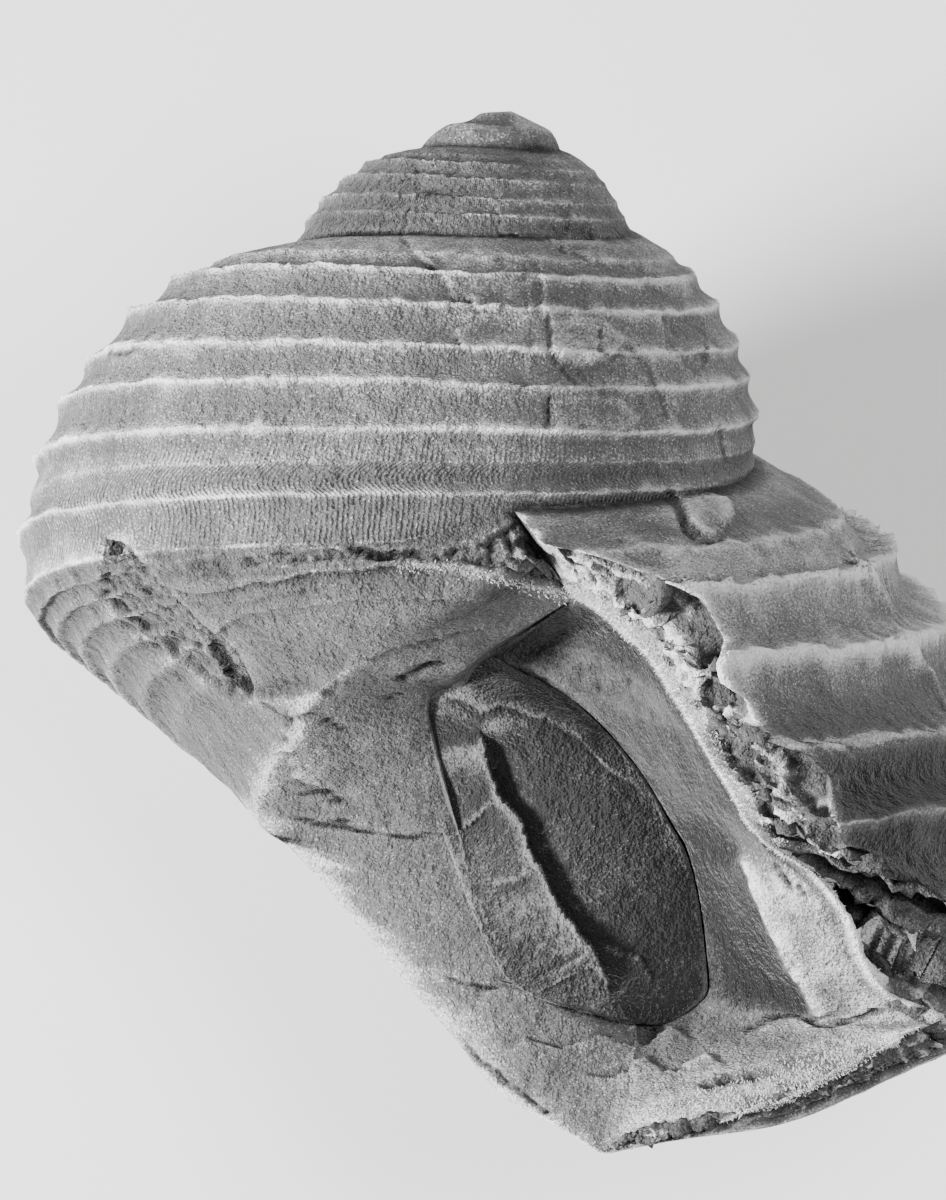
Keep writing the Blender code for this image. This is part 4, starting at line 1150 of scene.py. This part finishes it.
def stone_material(name, dark, middle, pale, grain_mm, grain_depth, edge_light, cord_lines):
    """Fine-grained stone: matt grey, pale where broken, with painted highlights on crests and edges and
    painted shade in its hollows and cracks.
    """
    material = bpy.data.materials.new(name)
    material.use_nodes = True
    tree = material.node_tree
    tree.nodes.clear()
    spot = node(tree, "ShaderNodeTexCoord").outputs["Object"]
    marks = {}
    for label in ("turn", "place", "size", "fine_edge", "broad_edge", "crack", "fringe", "shade", "broken"):
        marks[label] = node(tree, "ShaderNodeAttribute", attribute_name=label).outputs["Fac"]
    # Each pattern's size in millimetres, its detail and its roughness.
    for label, size_mm, detail, rough in (("grain", grain_mm, 2.0, 0.8), ("mottle", 1.5, 5.0, 0.65),
                                          ("speck", 0.045, 1.0, 0.6), ("grit", grain_mm, 2.0, 0.6),
                                          ("pores", 0.13, 2.0, 0.6), ("dents", 0.40, 3.0, 0.6)):
        marks[label] = node(tree, "ShaderNodeTexNoise", {
            "Vector": spot, "Scale": 1000.0 / size_mm, "Detail": detail, "Roughness": rough})
    marks["speck"] = node(tree, "ShaderNodeMath", {0: marks["speck"], 1: 0.68}, operation="GREATER_THAN")

    # How much each mark lightens the stone, and how high it stands in the bump.
    # Of these, the two edge marks are painted highlights on what stands out and painted shade in hollows, the
    # crack mark is painted shade in cracks and sunk patches, the regional shade mark is painted light and
    # shade, and the crest lines are painted highlights.
    tones = [("grain", grain_depth), ("mottle", MOTTLE_DEPTH), ("speck", 0.12), ("crack", -0.30),
             ("fine_edge", 0.13 * edge_light), ("broad_edge", 0.08 * edge_light), ("fringe", 0.34),
             ("shade", -0.13), ("broken", 0.20)]
    heights = [("grit", 1.0), ("pores", 1.8), ("dents", 4.5)]
    if cord_lines:
        marks["crests"] = painted_crest_highlight(tree, spot, marks["place"], marks["size"])
        marks["growth_lines"] = growth_lines(tree, spot, marks["turn"], marks["place"])
        tones += [("crests", 0.42), ("growth_lines", 0.07)]
        heights += [("growth_lines", 0.22)]
    tone = 0.5 - 0.5 * (grain_depth + MOTTLE_DEPTH)
    for label, amount in tones:
        tone = node(tree, "ShaderNodeMath", {0: marks[label], 1: amount, 2: tone}, operation="MULTIPLY_ADD")
    height = 0.0
    for label, amount in heights:
        height = node(tree, "ShaderNodeMath", {0: marks[label], 1: amount, 2: height},
                      operation="MULTIPLY_ADD")

    colour = node(tree, "ShaderNodeValToRGB", {"Fac": tone})
    stops = colour.color_ramp
    stops.elements[0].position, stops.elements[0].color = 0.05, linear(dark)
    stops.elements[1].position, stops.elements[1].color = 1.0, linear(pale)
    stops.elements.new(0.5).color = linear(middle)
    bump = node(tree, "ShaderNodeBump", {"Strength": 1.0, "Distance": 0.00008, "Height": height})
    shader = node(tree, "ShaderNodeBsdfPrincipled", {"Base Color": colour, "Roughness": 0.85,
                                                     "Normal": bump, "Specular IOR Level": 0.25,
                                                     "Sheen Weight": 0.15, "Sheen Roughness": 0.4})
    node(tree, "ShaderNodeOutputMaterial", {0: shader})
    return material


def painted_crest_highlight(tree, spot, place, size):
    """A pale ragged line along each cord's crest, a painted highlight, broken up here and there."""
    share = node(tree, "ShaderNodeMath", {0: place, 1: 2.5}, operation="DIVIDE")
    crest = node(tree, "ShaderNodeValToRGB", {"Fac": share})
    stops = crest.color_ramp
    stops.elements[0].color = stops.elements[1].color = (0, 0, 0, 1)
    for cord in CORDS + (LOW_CORD_HEIGHT,):
        peak = 0.35 if cord in WEAK_CORDS else 1.0
        for shift, value in ((-0.022, 0.0), (0.0, peak), (0.016, 0.0)):
            stops.elements.new((cord + shift) / 2.5).color = (value, value, value, 1)
    # The line narrows as the whorl grows, so that it stays as wide in millimetres.
    off = node(tree, "ShaderNodeMath", {0: 1.0, 1: crest}, operation="SUBTRACT")
    wide = node(tree, "ShaderNodeMath", {0: off, 1: size}, operation="MULTIPLY")
    line = node(tree, "ShaderNodeMath", {0: wide, 1: -1 / 2.4, 2: 1.0}, operation="MULTIPLY_ADD",
                use_clamp=True)
    fine = node(tree, "ShaderNodeTexNoise", {"Vector": spot, "Scale": 1000.0 / 0.12, "Detail": 3.0,
                                             "Roughness": 0.6})
    ragged = node(tree, "ShaderNodeMath", {0: fine, 1: 1.6, 2: -0.25}, operation="MULTIPLY_ADD")
    broad = node(tree, "ShaderNodeTexNoise", {"Vector": spot, "Scale": 1000.0 / 2.2, "Detail": 2.0,
                                              "Roughness": 0.6})
    kept = node(tree, "ShaderNodeMapRange", {"Value": broad, "From Min": 0.40, "From Max": 0.58,
                                             "To Min": 0.15, "To Max": 1.1})
    for share in (ragged, kept):
        line = node(tree, "ShaderNodeMath", {0: line, 1: share}, operation="MULTIPLY")
    return line


def growth_lines(tree, spot, turn, place):
    """Fine lines across the whorl, bowed on the slit band, fainter above it and worn away in patches."""
    off = node(tree, "ShaderNodeMath", {0: place, 1: SLIT_MIDDLE}, operation="SUBTRACT")
    bow = node(tree, "ShaderNodeMath", {0: off, 1: off}, operation="MULTIPLY")
    in_band = node(tree, "ShaderNodeMath", {0: place, 1: SLIT_MIDDLE, 2: SLIT_HALF_WIDTH},
                   operation="COMPARE")
    bowed_part = node(tree, "ShaderNodeMath", {0: bow, 1: in_band}, operation="MULTIPLY")
    uneven = node(tree, "ShaderNodeTexNoise", {"Vector": spot, "Scale": 1000.0 / 0.5, "Detail": 3.0,
                                               "Roughness": 0.6})
    phase = 0.0
    for source, amount in ((uneven, 5.0), (bowed_part, SLIT_LINE_BOW), (turn, GROWTH_LINE_PHASE)):
        phase = node(tree, "ShaderNodeMath", {0: source, 1: amount, 2: phase}, operation="MULTIPLY_ADD")
    lines = node(tree, "ShaderNodeMath", {0: phase}, operation="SINE")
    patchy = node(tree, "ShaderNodeTexNoise", {"Vector": spot, "Scale": 1000.0 / 1.1, "Detail": 3.0,
                                               "Roughness": 0.6})
    kept = node(tree, "ShaderNodeMapRange", {"Value": patchy, "From Min": 0.40, "From Max": 0.55,
                                             "To Min": 0.15, "To Max": 1.0})
    low = node(tree, "ShaderNodeMapRange", {"Value": place, "From Min": 1.40, "From Max": 1.60,
                                            "To Min": 0.25, "To Max": 1.0})
    half = LOW_CORD_HEIGHT / 2
    on_whorl = node(tree, "ShaderNodeMath", {0: place, 1: half, 2: half}, operation="COMPARE")
    for share in (kept, low, on_whorl):
        lines = node(tree, "ShaderNodeMath", {0: lines, 1: share}, operation="MULTIPLY")
    return lines


# Stage

LIGHT_DISTANCE = 0.16


def make_stage():
    """A pale floor, soft lights and the camera that looks down at the photograph's angle."""
    scene = bpy.context.scene
    reach = 0.6
    corners = [(-reach, -reach, 0), (reach, -reach, 0), (reach, reach, 0), (-reach, reach, 0)]
    mesh = bpy.data.meshes.new("floor")
    mesh.from_pydata(corners, [], [(0, 1, 2, 3)])
    floor = bpy.data.objects.new("floor", mesh)
    scene.collection.objects.link(floor)
    # Matt white card: even and without shine, so the soft shadow is all that shows on it.
    card = bpy.data.materials.new("matt_white_card")
    card.use_nodes = True
    shader = card.node_tree.nodes["Principled BSDF"]
    shader.inputs["Base Color"].default_value = linear("#F4F4F3")
    shader.inputs["Roughness"].default_value = 0.9
    mesh.materials.append(card)

    turn = Matrix(REST_TURN.tolist())
    across, down = (np.array(CENTRE_PIXEL) - AXIS_PIXEL) / PIXELS_PER_MM
    centre = (turn @ Vector((across, -down, 0.0)) + Vector(REST_SHIFT)) * MM
    view = bpy.data.cameras.new("camera")
    view.lens = 1000.0
    view.sensor_width = 36.0
    view.clip_start, view.clip_end = 0.05, 10.0
    camera = bpy.data.objects.new("camera", view)
    scene.collection.objects.link(camera)
    distance = PHOTO_HEIGHT_MM * MM * view.lens / view.sensor_width
    camera.matrix_world = Matrix.Translation(centre + turn @ Vector((0, 0, distance))) @ turn.to_4x4()
    scene.camera = camera

    # Each light: its way from the object in the view's right, up and out, its power in watts, and its size.
    for name, way, power, size in (("key_light", (-0.88, -0.10, 0.52), 1.1, 0.045),
                                   ("front_light", (0.30, 0.10, 0.92), 0.18, 0.05),
                                   ("fill_light", (0.8, 0.5, 0.6), 0.05, 0.20)):
        lamp = bpy.data.lights.new(name, "AREA")
        lamp.shape = "DISK"
        lamp.energy = power
        lamp.size = size
        light = bpy.data.objects.new(name, lamp)
        scene.collection.objects.link(light)
        towards = turn @ Vector(way).normalized()
        aim = towards.to_track_quat("Z", "Y").to_matrix().to_4x4()
        light.matrix_world = Matrix.Translation(centre + towards * LIGHT_DISTANCE) @ aim
        light.visible_camera = False

    world = bpy.data.worlds.new("studio")
    world.use_nodes = True
    surround = world.node_tree.nodes["Background"]
    surround.inputs["Color"].default_value = (1.0, 1.0, 1.0, 1.0)
    surround.inputs["Strength"].default_value = 0.22
    scene.world = world


def main():
    """Makes the shell, the plug and the crystals, and lays them out under the camera."""
    weathering = weathering_tree()
    # Shell turned to fine stone: dull, pale where broken, with painted highlights on its crests and edges and
    # painted shade in its hollows.
    shell_stone = stone_material("fine_grained_shell_stone", "#101010", "#646464", "#F6F6F6", 0.045, 0.85,
                                 1.0, True)
    # Hardened mud: darker and more even than the shell, with a fine dull grain.
    matrix = stone_material("hardened_mud_matrix", "#080808", "#262626", "#A8A8A8", 0.05, 0.5, 0.4, False)
    shell = make_shell(shell_stone, weathering)
    plug = make_plug(matrix, weathering)
    fringe = make_crystals(shell, crystal_tree(), pale_material())
    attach(fringe, "root")
    for piece, cad, finish in ((shell, "shell", "shell_stone"), (plug, "matrix_plug", "matrix")):
        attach(piece, "root")
        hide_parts(cad)
    make_stage()


main()
